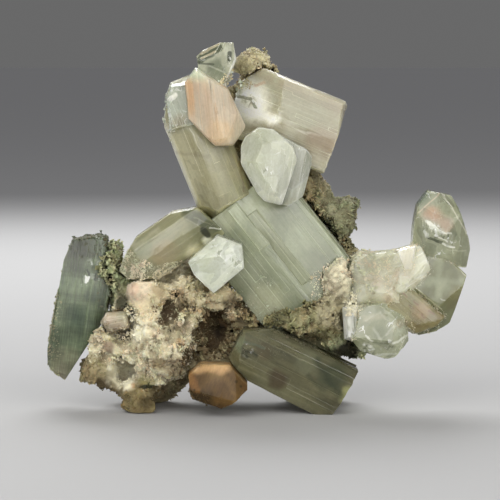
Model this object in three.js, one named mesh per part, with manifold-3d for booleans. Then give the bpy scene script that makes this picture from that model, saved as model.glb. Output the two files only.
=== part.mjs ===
// Apophyllite and stilbite crystals on a drusy rock matrix.
// Millimetres, +Z up. The front of the specimen faces -Y and +X is to its right.

import Module from 'manifold-3d';
import * as THREE from 'three';
import { ConvexGeometry } from 'three/addons/geometries/ConvexGeometry.js';
import { ImprovedNoise } from 'three/addons/math/ImprovedNoise.js';
import { mergeVertices } from 'three/addons/utils/BufferGeometryUtils.js';

// ---------------------------------------------------------------- driving sizes

const SEAT_GAP = 0.3; // clearance between a crystal and what it is seated in
const FLOOR_Z = 0; // the specimen rests on this level
const REACH = 200; // larger than the specimen, for the floor cut
const LARGE_LUMP = 9; // half-width in X from which a lump gets finer facets
const LARGE_DETAIL = 2; // subdivision of a large rock lump
const SMALL_DETAIL = 1; // subdivision of a small rock lump
const HOLLOW_DETAIL = 2;
const HOLLOW_RELIEF = 0.08;
const BLOCKS_PER_MM = 0.5; // druse blocks on a lump for each millimetre of its half-width
const LUMP_RELIEF = 0.13; // height of the bumps on a lump, as a share of its radius
const LUMP_BUMP_SIZE = 5.5; // width of those bumps
const BLOCK_DEPTH = 0.92; // where a druse block sits, as a share of the lump's half-width
const BLOCK_WIDTH = [2, 4]; // narrowest and widest druse block
const DRUSE_SEED = 15;

// ---------------------------------------------------------------- solids

const wasm = await Module();
wasm.setup();

/** Turns a closed three.js geometry into a solid that can be joined and cut. */
function toSolid(geometry) {
  const bare = geometry.clone();
  bare.deleteAttribute('normal');
  bare.deleteAttribute('uv');
  const merged = mergeVertices(bare, 1e-4);
  return new wasm.Manifold(new wasm.Mesh({
    numProp: 3,
    vertProperties: new Float32Array(merged.attributes.position.array),
    triVerts: new Uint32Array(merged.index.array),
  }));
}

/** Turns a solid back into a three.js geometry. */
function toGeometry(solid) {
  const { vertProperties, triVerts, numProp } = solid.getMesh();
  const points = new Float32Array((vertProperties.length / numProp) * 3);
  for (let i = 0; i < points.length / 3; i += 1) {
    points.set(vertProperties.subarray(i * numProp, i * numProp + 3), i * 3);
  }
  const geometry = new THREE.BufferGeometry();
  geometry.setAttribute('position', new THREE.BufferAttribute(points, 3));
  geometry.setIndex(new THREE.BufferAttribute(new Uint32Array(triVerts), 1));
  geometry.computeVertexNormals();
  return geometry;
}

const join = (solids) => solids.reduce((whole, solid) => whole.add(solid));
const cut = (solid, tools) => tools.reduce((rest, tool) => rest.subtract(tool), solid);

/** Keeps the main body of a solid and drops crumbs that a cut has left loose. */
function mainBody(solid) {
  const bodies = solid.decompose();
  return bodies.reduce((best, body) => (body.volume() > best.volume() ? body : best));
}

// ---------------------------------------------------------------- crystals

/**
 * A face of a crystal: `angle` is where it looks in the front view (0 right, 90 up),
 * `lean` how far it turns from there towards the front, and `distance` is from the crystal's middle.
 */
function face(angle, lean, distance) {
  const a = THREE.MathUtils.degToRad(angle);
  const l = THREE.MathUtils.degToRad(lean);
  const normal = new THREE.Vector3(Math.cos(a) * Math.cos(l), -Math.sin(l), Math.sin(a) * Math.cos(l));
  return { normal, distance };
}

/** The front and back faces of a crystal that lies across the front view. */
const frontAndBack = (front, back) => [face(0, 90, front), face(0, -90, back)];

/** The same rim of faces given as [angle, distance], leaning a little to front and back in turn. */
function rim(faces, lean = 0) {
  return faces.flatMap(([angle, distance]) => (
    lean === 0 ? [face(angle, 0, distance)] : [face(angle, lean, distance), face(angle, -lean, distance)]
  ));
}

/** Corner points of the convex body that a set of faces bounds. */
function corners(faces, grow) {
  const found = [];
  const matrix = new THREE.Matrix3();
  for (let i = 0; i < faces.length; i += 1) {
    for (let j = i + 1; j < faces.length; j += 1) {
      for (let k = j + 1; k < faces.length; k += 1) {
        const trio = [faces[i], faces[j], faces[k]];
        const rows = trio.flatMap(({ normal }) => normal.toArray());
        matrix.set(...rows);
        if (Math.abs(matrix.determinant()) > 1e-4) {
          const point = new THREE.Vector3(...trio.map(({ distance }) => distance + grow));
          point.applyMatrix3(matrix.invert());
          const inside = faces.every(({ normal, distance }) => normal.dot(point) < distance + grow + 1e-5);
          const known = found.some((other) => other.distanceTo(point) < 1e-3);
          if (inside && !known) found.push(point);
        }
      }
    }
  }
  return found;
}

/** A crystal as a solid, grown outwards by `grow` on every face. */
function crystal({ at, faces }, grow = 0) {
  const geometry = new ConvexGeometry(corners(faces, grow));
  geometry.translate(...at);
  return toSolid(geometry);
}

const CRYSTALS = {
  centralPrism: {
    at: [2.2, 7.5, 43.3],
    faces: [
      ...rim([[38.5, 14.8], [218.5, 14.6]], 4),
      face(38, 84, 12), face(218, 80, 12.2), face(0, -90, 12),
      face(308.5, 0, 20), face(128.5, 0, 14),
    ],
  },
  centralLedge: {
    at: [-0.6, 1.5, 45.2],
    faces: [
      ...rim([[38.5, 3.1], [218.5, 3.1]], 12),
      face(308.5, 10, 4.8), face(128.5, 0, 10), ...frontAndBack(6.4, 6),
    ],
  },
  centralRib: {
    at: [5.0, 1.5, 43.0],
    faces: [
      ...rim([[38.5, 3.0], [218.5, 3.0]], 14),
      face(308.5, 16, 13.5), face(128.5, 0, 11), ...frontAndBack(6.1, 6),
    ],
  },
  leftColumn: {
    at: [-13.9, 0.5, 67.5],
    faces: [
      ...rim([[22.3, 7.4], [202.3, 7.4]], 14),
      face(22, 78, 6.6), face(202, 70, 7), face(0, -90, 7),
      face(301, 12, 16.2), face(249, 18, 14.6), face(172, 0, 11.4), face(112, 8, 18.4),
    ],
  },
  leftColumnSide: {
    at: [-20.0, -2.8, 80.0],
    faces: [
      ...rim([[20, 3.4], [186, 3.9], [96, 4.8], [284, 7], [150, 4.4]], 10), ...frontAndBack(4.6, 5),
    ],
  },
  rightBlock: {
    at: [10.8, 4, 74.3],
    faces: [
      face(67.7, 6, 9.9), face(67.7, -6, 9.9), face(247.7, 6, 9.9), face(247.7, -6, 9.9),
      face(340, 0, 10.4), face(351, 6, 11.0), face(122, 0, 17.3),
      face(163, 45, 10.2), face(163, -45, 15.5), face(230, 40, 13), face(95, 40, 15.4),
      face(70, 86, 8.2), face(250, 80, 8.4), face(0, -90, 9),
    ],
  },
  frontKnob: {
    at: [2.7, -8, 63.8],
    faces: [
      ...rim([[82, 9.4], [49, 7.8], [18, 7.4], [341.5, 6.3], [258, 9.1], [223, 7], [208, 6.05], [180, 7.2],
        [156, 8.6], [124, 9.6]]),
      face(20, 78, 9.2), face(150, 46, 9.6), face(212, 44, 8.6), face(90, 44, 10.6), face(345, 48, 9.2),
      face(258, 40, 10.8), face(0, -90, 14),
    ],
  },
  behindKnob: {
    at: [10.4, -4, 62.0],
    faces: [
      ...rim([[61, 6.2], [40, 5.3], [353, 3.0], [346, 2.7], [305, 5.6], [180, 5], [258, 9]]),
      face(0, 80, 5.6), face(350, 45, 4.6), face(0, -90, 12),
    ],
  },
  clearTip: {
    at: [-10.5, -2, 90.3],
    faces: [
      ...rim([[132, 4.7], [114, 4.2], [90, 4.9], [10, 4.9], [337, 4.3], [188, 5.1], [270, 10]]),
      face(110, 55, 5.2), face(20, 55, 5.4), face(265, 82, 4.6), face(100, -50, 5.4), face(0, -90, 5),
    ],
  },
  pinkStilbite: {
    at: [-11.1, -7.5, 79.5],
    faces: [
      ...rim([[143, 9.6], [185, 7.2], [224, 7.6], [271, 10.8], [327, 9.8], [25, 4.8], [56, 5.2]], 8),
      face(190, 74, 4.6), face(20, 70, 4.5), face(262, 46, 9.2), face(350, 40, 6.6), face(0, -90, 5),
    ],
  },
  brightCrystal: {
    at: [-10.9, -12, 38.9],
    faces: [
      ...rim([[131, 5.2], [69, 7], [5, 7.2], [310, 5.3], [226, 5.7], [203, 6.2]]),
      face(250, 76, 6), face(30, 58, 7.2), face(110, 60, 7), face(310, 50, 7.2), face(0, -90, 9),
    ],
  },
  creamCrystal: {
    at: [-24.3, -1, 43.2],
    faces: [
      ...rim([[159, 8.4], [150, 7.3], [125, 5.7], [101, 7.8], [49, 12.9], [33, 14.6], [304, 6.6],
        [270, 8.8], [235, 12.4]]),
      face(124, 78, 7.4), face(124, 45, 7.2), face(304, 74, 7.6), face(200, 50, 10.4), face(304, 40, 7.8),
      face(0, -90, 6.5),
    ],
  },
  darkCrystal: {
    at: [-46.9, 4, 25.7],
    faces: [
      ...rim([[99, 18.4], [79, 20], [4, 8.7], [346, 7.2], [327, 7], [288, 17.7], [227, 15.7], [182, 8.4],
        [169, 6.1], [156, 8.7]]),
      face(10, 84, 6.5), face(172, 40, 8.6), face(340, 42, 9.2), face(262, 40, 17.5), face(0, -90, 6),
    ],
  },
  lowerCrystal: {
    at: [8.7, -6, 11.0],
    faces: [
      ...rim([[64, 7.7], [92, 11], [243, 7.3], [323, 15], [331, 15], [196, 14.6], [222, 10.2], [152, 16]]),
      face(243, 78, 7.2), face(64, 44, 8.8), face(180, 46, 14.2), face(328, 40, 17), face(0, -90, 8),
    ],
  },
  peachStilbite: {
    at: [-10.3, -15, 7.9],
    faces: [
      ...rim([[130, 7.2], [88, 5.5], [41, 5.9], [0, 7.5], [312, 5.6], [297, 5.5], [251, 5.1], [197, 7.1],
        [184, 7.3]]),
      face(100, 76, 4.9), face(250, 48, 5.6), face(20, 50, 6.8), face(0, -90, 7),
    ],
  },
  roundCrystal: {
    at: [30.8, -4, 21.7],
    faces: [
      ...rim([[216, 7.1], [251, 6.9], [285, 8.2], [320, 8.1], [6, 7.6], [62, 6.8], [100, 6.7], [146, 8.1],
        [193, 7.2]]),
      face(95, 72, 7.4), face(262, 44, 7.8), face(0, 46, 8.6), face(150, 44, 9), face(60, 46, 8.2),
      face(0, -90, 7),
    ],
  },
  smallColumn: {
    at: [23.9, -8.5, 23.2],
    faces: [...rim([[4, 2.1], [184, 2.1], [94, 4.4], [255, 4.3], [290, 4.3]], 20), ...frontAndBack(3.4, 6)],
  },
  rightBody: {
    at: [45.9, 0, 31.9],
    faces: [
      ...rim([[147, 6.6], [49, 7.9], [343, 6.4], [301, 9.8], [287, 10.9], [215, 10.8], [166, 7.4]]),
      face(98, 76, 7), face(225, 52, 8), face(318, 46, 8.4), face(255, 40, 10.6), face(0, -90, 8),
    ],
  },
  hookCrystal: {
    at: [46.9, -1, 47.8],
    faces: [
      ...rim([[144, 7.9], [78, 8.5], [28, 6.5], [19, 6.1], [9, 7], [350, 8.9], [177, 6.8], [169, 6.7],
        [257, 9]]),
      face(100, 66, 6.6), face(345, 50, 7.2), face(188, 50, 7.4), face(255, 60, 7.6), face(60, 36, 7.8),
      face(0, -90, 6.5),
    ],
  },
  creamBody: {
    at: [31.6, -2, 33.8],
    faces: [
      ...rim([[92, 7.4], [40, 8.6], [4, 7.2], [330, 8], [262, 8], [200, 8.4], [160, 8.6], [130, 9]]),
      face(80, 70, 6.6), face(10, 50, 7.6), face(190, 48, 8), face(255, 52, 8), face(0, -90, 6),
    ],
  },
  creamShoulder: {
    at: [39.3, -1, 37.6],
    faces: [
      ...rim([[107, 4.9], [20, 4.6], [330, 5.5], [262, 7], [190, 6.2]]),
      face(100, 72, 6.2), face(330, 52, 7), face(0, -90, 6),
    ],
  },
  tanBody: {
    at: [41, -2, 27.2],
    faces: [
      ...rim([[49, 3.4], [229, 6.3], [290, 6.8], [319, 7.6], [139, 7]], 6),
      face(49, 80, 6.4), face(290, 50, 8.2), face(0, -90, 7),
    ],
  },
  creamSliver: {
    at: [38.4, -4.5, 38.6],
    faces: [...rim([[106, 4.1], [352, 2], [200, 2], [262, 5]], 10), ...frontAndBack(3, 6)],
  },
  lilacCrystal: {
    at: [-37, -7, 23.7],
    faces: [...rim([[150, 3], [95, 2.4], [10, 3.6], [280, 2.6], [215, 3]], 14), ...frontAndBack(3.2, 6)],
  },
};

/** Crystals that are grown through each other, joined to one solid. */
const grownTogether = (names, grow = 0) => join(names.map((name) => crystal(CRYSTALS[name], grow)));

// ---------------------------------------------------------------- matrix

/** Rock lumps: middle, then half-widths along X, Y and Z. */
const LUMPS = [
  { at: [-23.8, -7, 17.3], size: [10, 11, 11.5] }, // main mass of cream druse
  { at: [-31, -6, 4.4], size: [6, 8, 5.6] }, // lowest lobe, on the floor
  { at: [-41.2, 0, 10.3], size: [6, 8, 6] }, // green-brown lump under the dark crystal
  { at: [-39.2, -3, 17.6], size: [6.5, 7, 6] }, // cream druse at the far left
  { at: [-16, -3, 28.7], size: [13, 10, 8] }, // brown druse under the bright crystal
  { at: [-31, -6, 31.6], size: [4, 5, 3.8] }, // smooth pink lump
  { at: [-33.2, -3, 24], size: [5.5, 7, 7] },
  { at: [-17, 11, 23], size: [17, 13, 16] }, // rock body, left
  { at: [7, 10, 25], size: [17, 13, 14] }, // rock body, right
  { at: [16.5, -2, 24.8], size: [9, 9, 7.4] }, // druse right of the central prism
  { at: [7.4, -3, 22.6], size: [7, 8, 4.8] }, // druse on the foot of the central prism
  { at: [21, -2, 34], size: [6, 8, 7] }, // cream druse at the root of the bridge
  { at: [28, 3, 32], size: [12, 9, 9] }, // bridge to the right-hand crystals
  { at: [23, 2, 17], size: [8, 8, 5.2] }, // dark rock below the bridge
  { at: [18, 14, 38], size: [8, 9, 11] },
  { at: [-1.3, 8, 89.7], size: [5.7, 6, 4.8] }, // lump at the very top
  { at: [0.2, 13, 79.5], size: [8, 5.5, 12.6] }, // rock behind the upper crystals, down to the body
  { at: [-1.5, 14, 65], size: [10, 7, 16] },
  { at: [6, 15, 50], size: [15, 8.5, 17] },
  { at: [-39, 4, 36], size: [5.6, 8, 8.4] }, // dark rock beside the far left crystal
  { at: [-33, 8, 30], size: [8, 8, 9] },
  { at: [-29, 13, 7], size: [10, 8.5, 8.4] }, // rear foot, left
  { at: [15, 15, 7], size: [10, 8.5, 8.4] }, // rear foot, right
  { at: [-12, 13, 16], size: [18, 12, 11] },
  { at: [9, 12, 15], size: [14, 11, 11] },
];

/** Broken rock with flat sides, behind the right shoulder. */
const SHOULDER_ROCK = {
  at: [21.2, 14, 49.2],
  faces: [
    ...rim([[93, 6.4], [61, 7.2], [348, 5.6], [335, 5.9], [270, 12], [180, 9]], 16),
    face(80, 74, 6.4), face(300, 60, 7), face(40, -60, 7.4), face(0, -90, 7),
  ],
};

/** Hollows in the druse: middle and half-widths. */
const HOLLOWS = [
  { at: [-10.6, -9, 18.6], size: [3.8, 16, 5.2] }, // dark cavity above the peach stilbite
  { at: [-22.2, -14, 27.6], size: [2.5, 5, 2.8] },
  { at: [-28.4, -17, 7], size: [3.4, 5, 1.1] },
];

const noise = new ImprovedNoise();

/** Smooth noise at a point, made of a broad and a fine share. */
function relief({ x, y, z }, width) {
  const broad = noise.noise(x / width, y / width, z / width);
  const fine = noise.noise((2.3 * x) / width + 7, (2.3 * y) / width, (2.3 * z) / width);
  return broad + 0.5 * fine;
}

/** A rounded rock lump with bumps on it. */
function lump({ at, size }, detail, height = LUMP_RELIEF) {
  const geometry = new THREE.IcosahedronGeometry(1, detail);
  const points = geometry.attributes.position;
  const middle = new THREE.Vector3(...at);
  const scale = new THREE.Vector3(...size);
  const point = new THREE.Vector3();
  for (let i = 0; i < points.count; i += 1) {
    point.fromBufferAttribute(points, i).normalize();
    const surface = point.clone().multiply(scale).add(middle);
    const swell = 1 + height * 2 * relief(surface, LUMP_BUMP_SIZE);
    surface.copy(point.multiply(scale).multiplyScalar(swell)).add(middle);
    points.setXYZ(i, surface.x, surface.y, surface.z);
  }
  return toSolid(geometry);
}

/** A repeatable stream of numbers from 0 to 1. */
function randomStream(seed) {
  let state = seed;
  return () => {
    state = (state * 16807) % 2147483647;
    return state / 2147483647;
  };
}

/** Small blocky crystals that stand out of the rock, spread evenly over one lump. */
function druse({ at, size }, count, random) {
  const goldenAngle = Math.PI * (3 - Math.sqrt(5));
  const blocks = [];
  for (let i = 0; i < count; i += 1) {
    const height = 1 - (2 * (i + 0.5)) / count;
    const turn = i * goldenAngle + random();
    const around = Math.sqrt(1 - height * height);
    const out = new THREE.Vector3(Math.cos(turn) * around, Math.sin(turn) * around, height);
    const width = THREE.MathUtils.lerp(...BLOCK_WIDTH, random());
    const block = new THREE.BoxGeometry(width, width * (0.8 + 0.5 * random()), width * (1 + 0.8 * random()));
    block.rotateX(random() * Math.PI);
    block.rotateY(random() * Math.PI);
    block.translate(...out.multiply(new THREE.Vector3(...size)).multiplyScalar(BLOCK_DEPTH).toArray());
    block.translate(...at);
    blocks.push(toSolid(block));
  }
  return blocks;
}

/** The half space above the floor, as a large block. */
function aboveFloor() {
  const block = new THREE.BoxGeometry(REACH, REACH, REACH);
  block.translate(0, 0, FLOOR_Z + REACH / 2);
  return toSolid(block);
}

function matrixRock(sockets) {
  const random = randomStream(DRUSE_SEED);
  const lumps = LUMPS.map((each) => lump(each, each.size[0] > LARGE_LUMP ? LARGE_DETAIL : SMALL_DETAIL));
  const blocks = LUMPS.flatMap((each) => druse(each, Math.round(each.size[0] * BLOCKS_PER_MM), random));
  const hollows = HOLLOWS.map((each) => lump(each, HOLLOW_DETAIL, HOLLOW_RELIEF));
  const rock = join([...lumps, ...blocks, crystal(SHOULDER_ROCK)]);
  return mainBody(cut(rock, [...hollows, ...sockets]));
}

// ---------------------------------------------------------------- assembly

const CENTRAL = ['centralPrism', 'centralLedge', 'centralRib', 'leftColumn', 'leftColumnSide', 'rightBlock',
  'frontKnob', 'behindKnob', 'clearTip'];
const RIGHT = ['roundCrystal', 'smallColumn', 'creamBody', 'rightBody', 'hookCrystal', 'creamShoulder',
  'tanBody', 'creamSliver'];

/** Every crystal piece in the order in which each makes room for the ones before it. */
const PIECES = [
  { name: 'central_apophyllite', grown: CENTRAL, color: 0xa4aa92, roughness: 0.25 },
  { name: 'cream_apophyllite', grown: ['creamCrystal'], color: 0xb8b093, roughness: 0.35 },
  { name: 'pink_stilbite', grown: ['pinkStilbite'], color: 0xcfb095, roughness: 0.5 },
  { name: 'bright_apophyllite', grown: ['brightCrystal'], color: 0xd6dbcc, roughness: 0.08 },
  { name: 'dark_apophyllite', grown: ['darkCrystal'], color: 0x67705f, roughness: 0.35 },
  { name: 'lower_apophyllite', grown: ['lowerCrystal'], color: 0x66664f, roughness: 0.25 },
  { name: 'peach_stilbite', grown: ['peachStilbite'], color: 0xbe966e, roughness: 0.5 },
  { name: 'right_apophyllite', grown: RIGHT, color: 0xb5b39b, roughness: 0.15 },
  { name: 'lilac_crystal', grown: ['lilacCrystal'], color: 0xa89a92, roughness: 0.3 },
];

function addMesh(group, name, solid, color, roughness) {
  const material = new THREE.MeshStandardMaterial({ color, roughness, metalness: 0 });
  const mesh = new THREE.Mesh(toGeometry(solid), material);
  mesh.name = name;
  group.add(mesh);
}

/** Moves the group so that its box stands centred on the origin. */
function standOnOrigin(group) {
  const box = new THREE.Box3().setFromObject(group);
  const middle = box.getCenter(new THREE.Vector3());
  group.position.set(-middle.x, -middle.y, -box.min.z);
}

const specimen = new THREE.Group();
specimen.name = 'apophyllite_cluster';
const floorCut = aboveFloor();
const sockets = [];
for (const { name, grown, color, roughness } of PIECES) {
  const solid = mainBody(cut(grownTogether(grown), sockets)).intersect(floorCut);
  addMesh(specimen, name, solid, color, roughness);
  sockets.push(grownTogether(grown, SEAT_GAP));
}
addMesh(specimen, 'matrix_rock', mainBody(matrixRock(sockets).intersect(floorCut)), 0x8f8168, 0.9);
standOnOrigin(specimen);

export default specimen;
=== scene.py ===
import itertools
import math

import bmesh
import bpy
import numpy as np
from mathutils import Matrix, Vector, noise


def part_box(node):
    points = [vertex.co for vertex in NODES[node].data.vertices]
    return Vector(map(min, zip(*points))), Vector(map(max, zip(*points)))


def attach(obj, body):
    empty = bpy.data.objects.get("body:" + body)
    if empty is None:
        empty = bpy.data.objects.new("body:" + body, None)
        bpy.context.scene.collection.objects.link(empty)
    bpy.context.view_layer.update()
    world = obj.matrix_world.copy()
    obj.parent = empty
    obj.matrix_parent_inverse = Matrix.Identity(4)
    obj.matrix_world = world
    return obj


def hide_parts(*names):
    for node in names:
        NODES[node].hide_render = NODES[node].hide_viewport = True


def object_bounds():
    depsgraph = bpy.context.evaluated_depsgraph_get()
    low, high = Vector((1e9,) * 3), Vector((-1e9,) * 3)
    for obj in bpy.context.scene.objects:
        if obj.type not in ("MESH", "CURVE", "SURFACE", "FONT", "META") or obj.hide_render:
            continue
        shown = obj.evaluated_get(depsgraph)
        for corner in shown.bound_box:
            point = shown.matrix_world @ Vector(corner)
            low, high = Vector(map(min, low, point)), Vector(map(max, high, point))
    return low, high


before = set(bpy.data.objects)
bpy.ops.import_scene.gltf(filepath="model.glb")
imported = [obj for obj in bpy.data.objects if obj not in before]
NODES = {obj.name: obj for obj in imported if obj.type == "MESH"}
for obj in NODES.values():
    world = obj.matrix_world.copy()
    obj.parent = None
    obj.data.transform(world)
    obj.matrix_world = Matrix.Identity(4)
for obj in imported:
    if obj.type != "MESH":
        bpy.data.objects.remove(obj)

cad_box = [[float(x) for x in corner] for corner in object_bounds()]
MM = 0.001
# noise_vector takes its offsets from this seed, and would take them from the clock without it
noise.seed_set(19)


# ---------------------------------------------------------------- crystal forms
# A face is (angle, lean, distance): its normal's angle in the front view, 0 to the right and 90 up,
# its lean toward the front, and its distance from the crystal's centre in millimetres.

def rim(pairs, lean=0):
    sides = [lean, -lean] if lean else [0]
    return [(angle, side, distance) for angle, distance in pairs for side in sides]


def front_and_back(front, back):
    return [(0, 90, front), (0, -90, back)]


def normal_of(angle, lean):
    a, l = math.radians(angle), math.radians(lean)
    return np.array((math.cos(a) * math.cos(l), -math.sin(l), math.sin(a) * math.cos(l)))


CRYSTALS = {
    "central_prism": ([2.2, 7.5, 43.3], -51.5, rim([(38.5, 14.8), (218.5, 14.6)], 4) + [
        (38, 84, 12), (218, 80, 12.2), (0, -90, 12), (308.5, 0, 20), (128.5, 0, 14)]),
    "central_ledge": ([-0.6, 1.5, 45.2], -51.5, rim([(38.5, 3.1), (218.5, 3.1)], 12) + [
        (308.5, 10, 4.8), (128.5, 0, 10)] + front_and_back(6.4, 6)),
    "central_rib": ([5.0, 1.5, 43.0], -51.5, rim([(38.5, 3.0), (218.5, 3.0)], 14) + [
        (308.5, 16, 13.5), (128.5, 0, 11)] + front_and_back(6.1, 6)),
    "left_column": ([-13.9, 0.5, 67.5], -67.7, rim([(22.3, 7.4), (202.3, 7.4)], 14) + [
        (22, 78, 6.6), (202, 70, 7), (0, -90, 7), (301, 12, 16.2), (249, 18, 14.6), (172, 0, 11.4),
        (112, 8, 18.4)]),
    "left_column_side": ([-20.0, -2.8, 80.0], -67.7, rim([
        (20, 3.4), (186, 3.9), (96, 4.8), (284, 7), (150, 4.4)], 10) + front_and_back(4.6, 5)),
    "right_block": ([10.8, 4, 74.3], -22.3, rim([(67.7, 9.9), (247.7, 9.9)], 6) + [
        (340, 0, 10.4), (351, 6, 11.0), (122, 0, 17.3), (163, 45, 10.2), (163, -45, 15.5),
        (230, 40, 13), (95, 40, 15.4), (70, 86, 8.2), (250, 80, 8.4), (0, -90, 9)]),
    "front_knob": ([2.7, -8, 63.8], 82, rim([
        (82, 9.4), (49, 7.8), (18, 7.4), (341.5, 6.3), (258, 9.1), (223, 7), (208, 6.05),
        (180, 7.2), (156, 8.6), (124, 9.6)]) + [
        (20, 78, 9.2), (150, 46, 9.6), (212, 44, 8.6), (90, 44, 10.6), (345, 48, 9.2),
        (258, 40, 10.8), (0, -90, 14)]),
    "behind_knob": ([10.4, -4, 62.0], 75, rim([
        (61, 6.2), (40, 5.3), (353, 3.0), (346, 2.7), (305, 5.6), (180, 5), (258, 9)]) + [
        (0, 80, 5.6), (350, 45, 4.6), (0, -90, 12)]),
    "clear_tip": ([-10.5, -2, 90.3], 62, rim([
        (132, 4.7), (114, 4.2), (90, 4.9), (10, 4.9), (337, 4.3), (188, 5.1), (270, 10)]) + [
        (110, 55, 5.2), (20, 55, 5.4), (265, 82, 4.6), (100, -50, 5.4), (0, -90, 5)]),
    "pink_crystal": ([-11.1, -7.5, 79.5], 95, rim([
        (143, 9.6), (185, 7.2), (224, 7.6), (271, 10.8), (327, 9.8), (25, 4.8), (56, 5.2)], 8) + [
        (190, 74, 4.6), (20, 70, 4.5), (262, 46, 9.2), (350, 40, 6.6), (0, -90, 5)]),
    "bright_crystal": ([-10.9, -12, 38.9], 38, rim([
        (131, 5.2), (69, 7), (5, 7.2), (310, 5.3), (226, 5.7), (203, 6.2)]) + [
        (250, 76, 6), (30, 58, 7.2), (110, 60, 7), (310, 50, 7.2), (0, -90, 9)]),
    "cream_crystal": ([-24.3, -1, 43.2], 34, rim([
        (159, 8.4), (150, 7.3), (125, 5.7), (101, 7.8), (49, 12.9), (33, 14.6), (304, 6.6),
        (270, 8.8), (235, 12.4)]) + [
        (124, 78, 7.4), (124, 45, 7.2), (304, 74, 7.6), (200, 50, 10.4), (304, 40, 7.8),
        (0, -90, 6.5)]),
    "dark_crystal": ([-46.9, 4, 25.7], -97.8, rim([
        (99, 18.4), (79, 20), (4, 8.7), (346, 7.2), (327, 7), (288, 17.7), (227, 15.7), (182, 8.4),
        (169, 6.1), (156, 8.7)]) + [
        (10, 84, 6.5), (172, 40, 8.6), (340, 42, 9.2), (262, 40, 17.5), (0, -90, 6)]),
    "lower_crystal": ([8.7, -6, 11.0], -27, rim([
        (64, 7.7), (92, 11), (243, 7.3), (323, 15), (331, 15), (196, 14.6), (222, 10.2),
        (152, 16)]) + [
        (243, 78, 7.2), (64, 44, 8.8), (180, 46, 14.2), (328, 40, 17), (0, -90, 8)]),
    "peach_crystal": ([-10.3, -15, 7.9], 70, rim([
        (130, 7.2), (88, 5.5), (41, 5.9), (0, 7.5), (312, 5.6), (297, 5.5), (251, 5.1),
        (197, 7.1), (184, 7.3)]) + [
        (100, 76, 4.9), (250, 48, 5.6), (20, 50, 6.8), (0, -90, 7)]),
    "round_crystal": ([30.8, -4, 21.7], 60, rim([
        (216, 7.1), (251, 6.9), (285, 8.2), (320, 8.1), (6, 7.6), (62, 6.8), (100, 6.7),
        (146, 8.1), (193, 7.2)]) + [
        (95, 72, 7.4), (262, 44, 7.8), (0, 46, 8.6), (150, 44, 9), (60, 46, 8.2), (0, -90, 7)]),
    "small_column": ([23.9, -8.5, 23.2], 94, rim([
        (4, 2.1), (184, 2.1), (94, 4.4), (255, 4.3), (290, 4.3)], 20) + front_and_back(3.4, 6)),
    "cream_body": ([31.6, -2, 33.8], 30, rim([
        (92, 7.4), (40, 8.6), (4, 7.2), (330, 8), (262, 8), (200, 8.4), (160, 8.6), (130, 9)]) + [
        (80, 70, 6.6), (10, 50, 7.6), (190, 48, 8), (255, 52, 8), (0, -90, 6)]),
    "right_body": ([45.9, 0, 31.9], 60, rim([
        (147, 6.6), (49, 7.9), (343, 6.4), (301, 9.8), (287, 10.9), (215, 10.8), (166, 7.4)]) + [
        (98, 76, 7), (225, 52, 8), (318, 46, 8.4), (255, 40, 10.6), (0, -90, 8)]),
    "hook_crystal": ([46.9, -1, 47.8], 95, rim([
        (144, 7.9), (78, 8.5), (28, 6.5), (19, 6.1), (9, 7), (350, 8.9), (177, 6.8), (169, 6.7),
        (257, 9)]) + [
        (100, 66, 6.6), (345, 50, 7.2), (188, 50, 7.4), (255, 60, 7.6), (60, 36, 7.8),
        (0, -90, 6.5)]),
    "cream_shoulder": ([39.3, -1, 37.6], 30, rim([
        (107, 4.9), (20, 4.6), (330, 5.5), (262, 7), (190, 6.2)]) + [
        (100, 72, 6.2), (330, 52, 7), (0, -90, 6)]),
    "tan_body": ([41, -2, 27.2], -41, rim([
        (49, 3.4), (229, 6.3), (290, 6.8), (319, 7.6), (139, 7)], 6) + [
        (49, 80, 6.4), (290, 50, 8.2), (0, -90, 7)]),
    "cream_sliver": ([38.4, -4.5, 38.6], 80, rim([
        (106, 4.1), (352, 2), (200, 2), (262, 5)], 10) + front_and_back(3, 6)),
    "lilac_sliver": ([-37, -7, 23.7], 10, rim([
        (150, 3), (95, 2.4), (10, 3.6), (280, 2.6), (215, 3)], 14) + front_and_back(3.2, 6)),
}


def half_spaces(name):
    """The crystal's centre, its turn (local z along its c axis, local y to the back), and its faces'
    normals and distances in that frame."""
    at, angle, faces = CRYSTALS[name]
    a = math.radians(angle)
    turn = np.array([[math.sin(a), 0, math.cos(a)], [0, 1, 0], [-math.cos(a), 0, math.sin(a)]])
    normals = np.array([normal_of(angle, lean) for angle, lean, _ in faces]) @ turn
    return np.array(at), turn, normals, np.array([distance for _, _, distance in faces], float)


def corner_points(normals, distances):
    found = []
    for trio in itertools.combinations(range(len(normals)), 3):
        m = normals[list(trio)]
        if abs(np.linalg.det(m)) < 1e-5:
            continue
        p = np.linalg.solve(m, distances[list(trio)])
        if (normals @ p <= distances + 1e-6).all():
            found.append(p)
    unique = []
    for p in found:
        if not any(np.abs(p - q).max() < 1e-4 for q in unique):
            unique.append(p)
    return np.array(unique)


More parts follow.
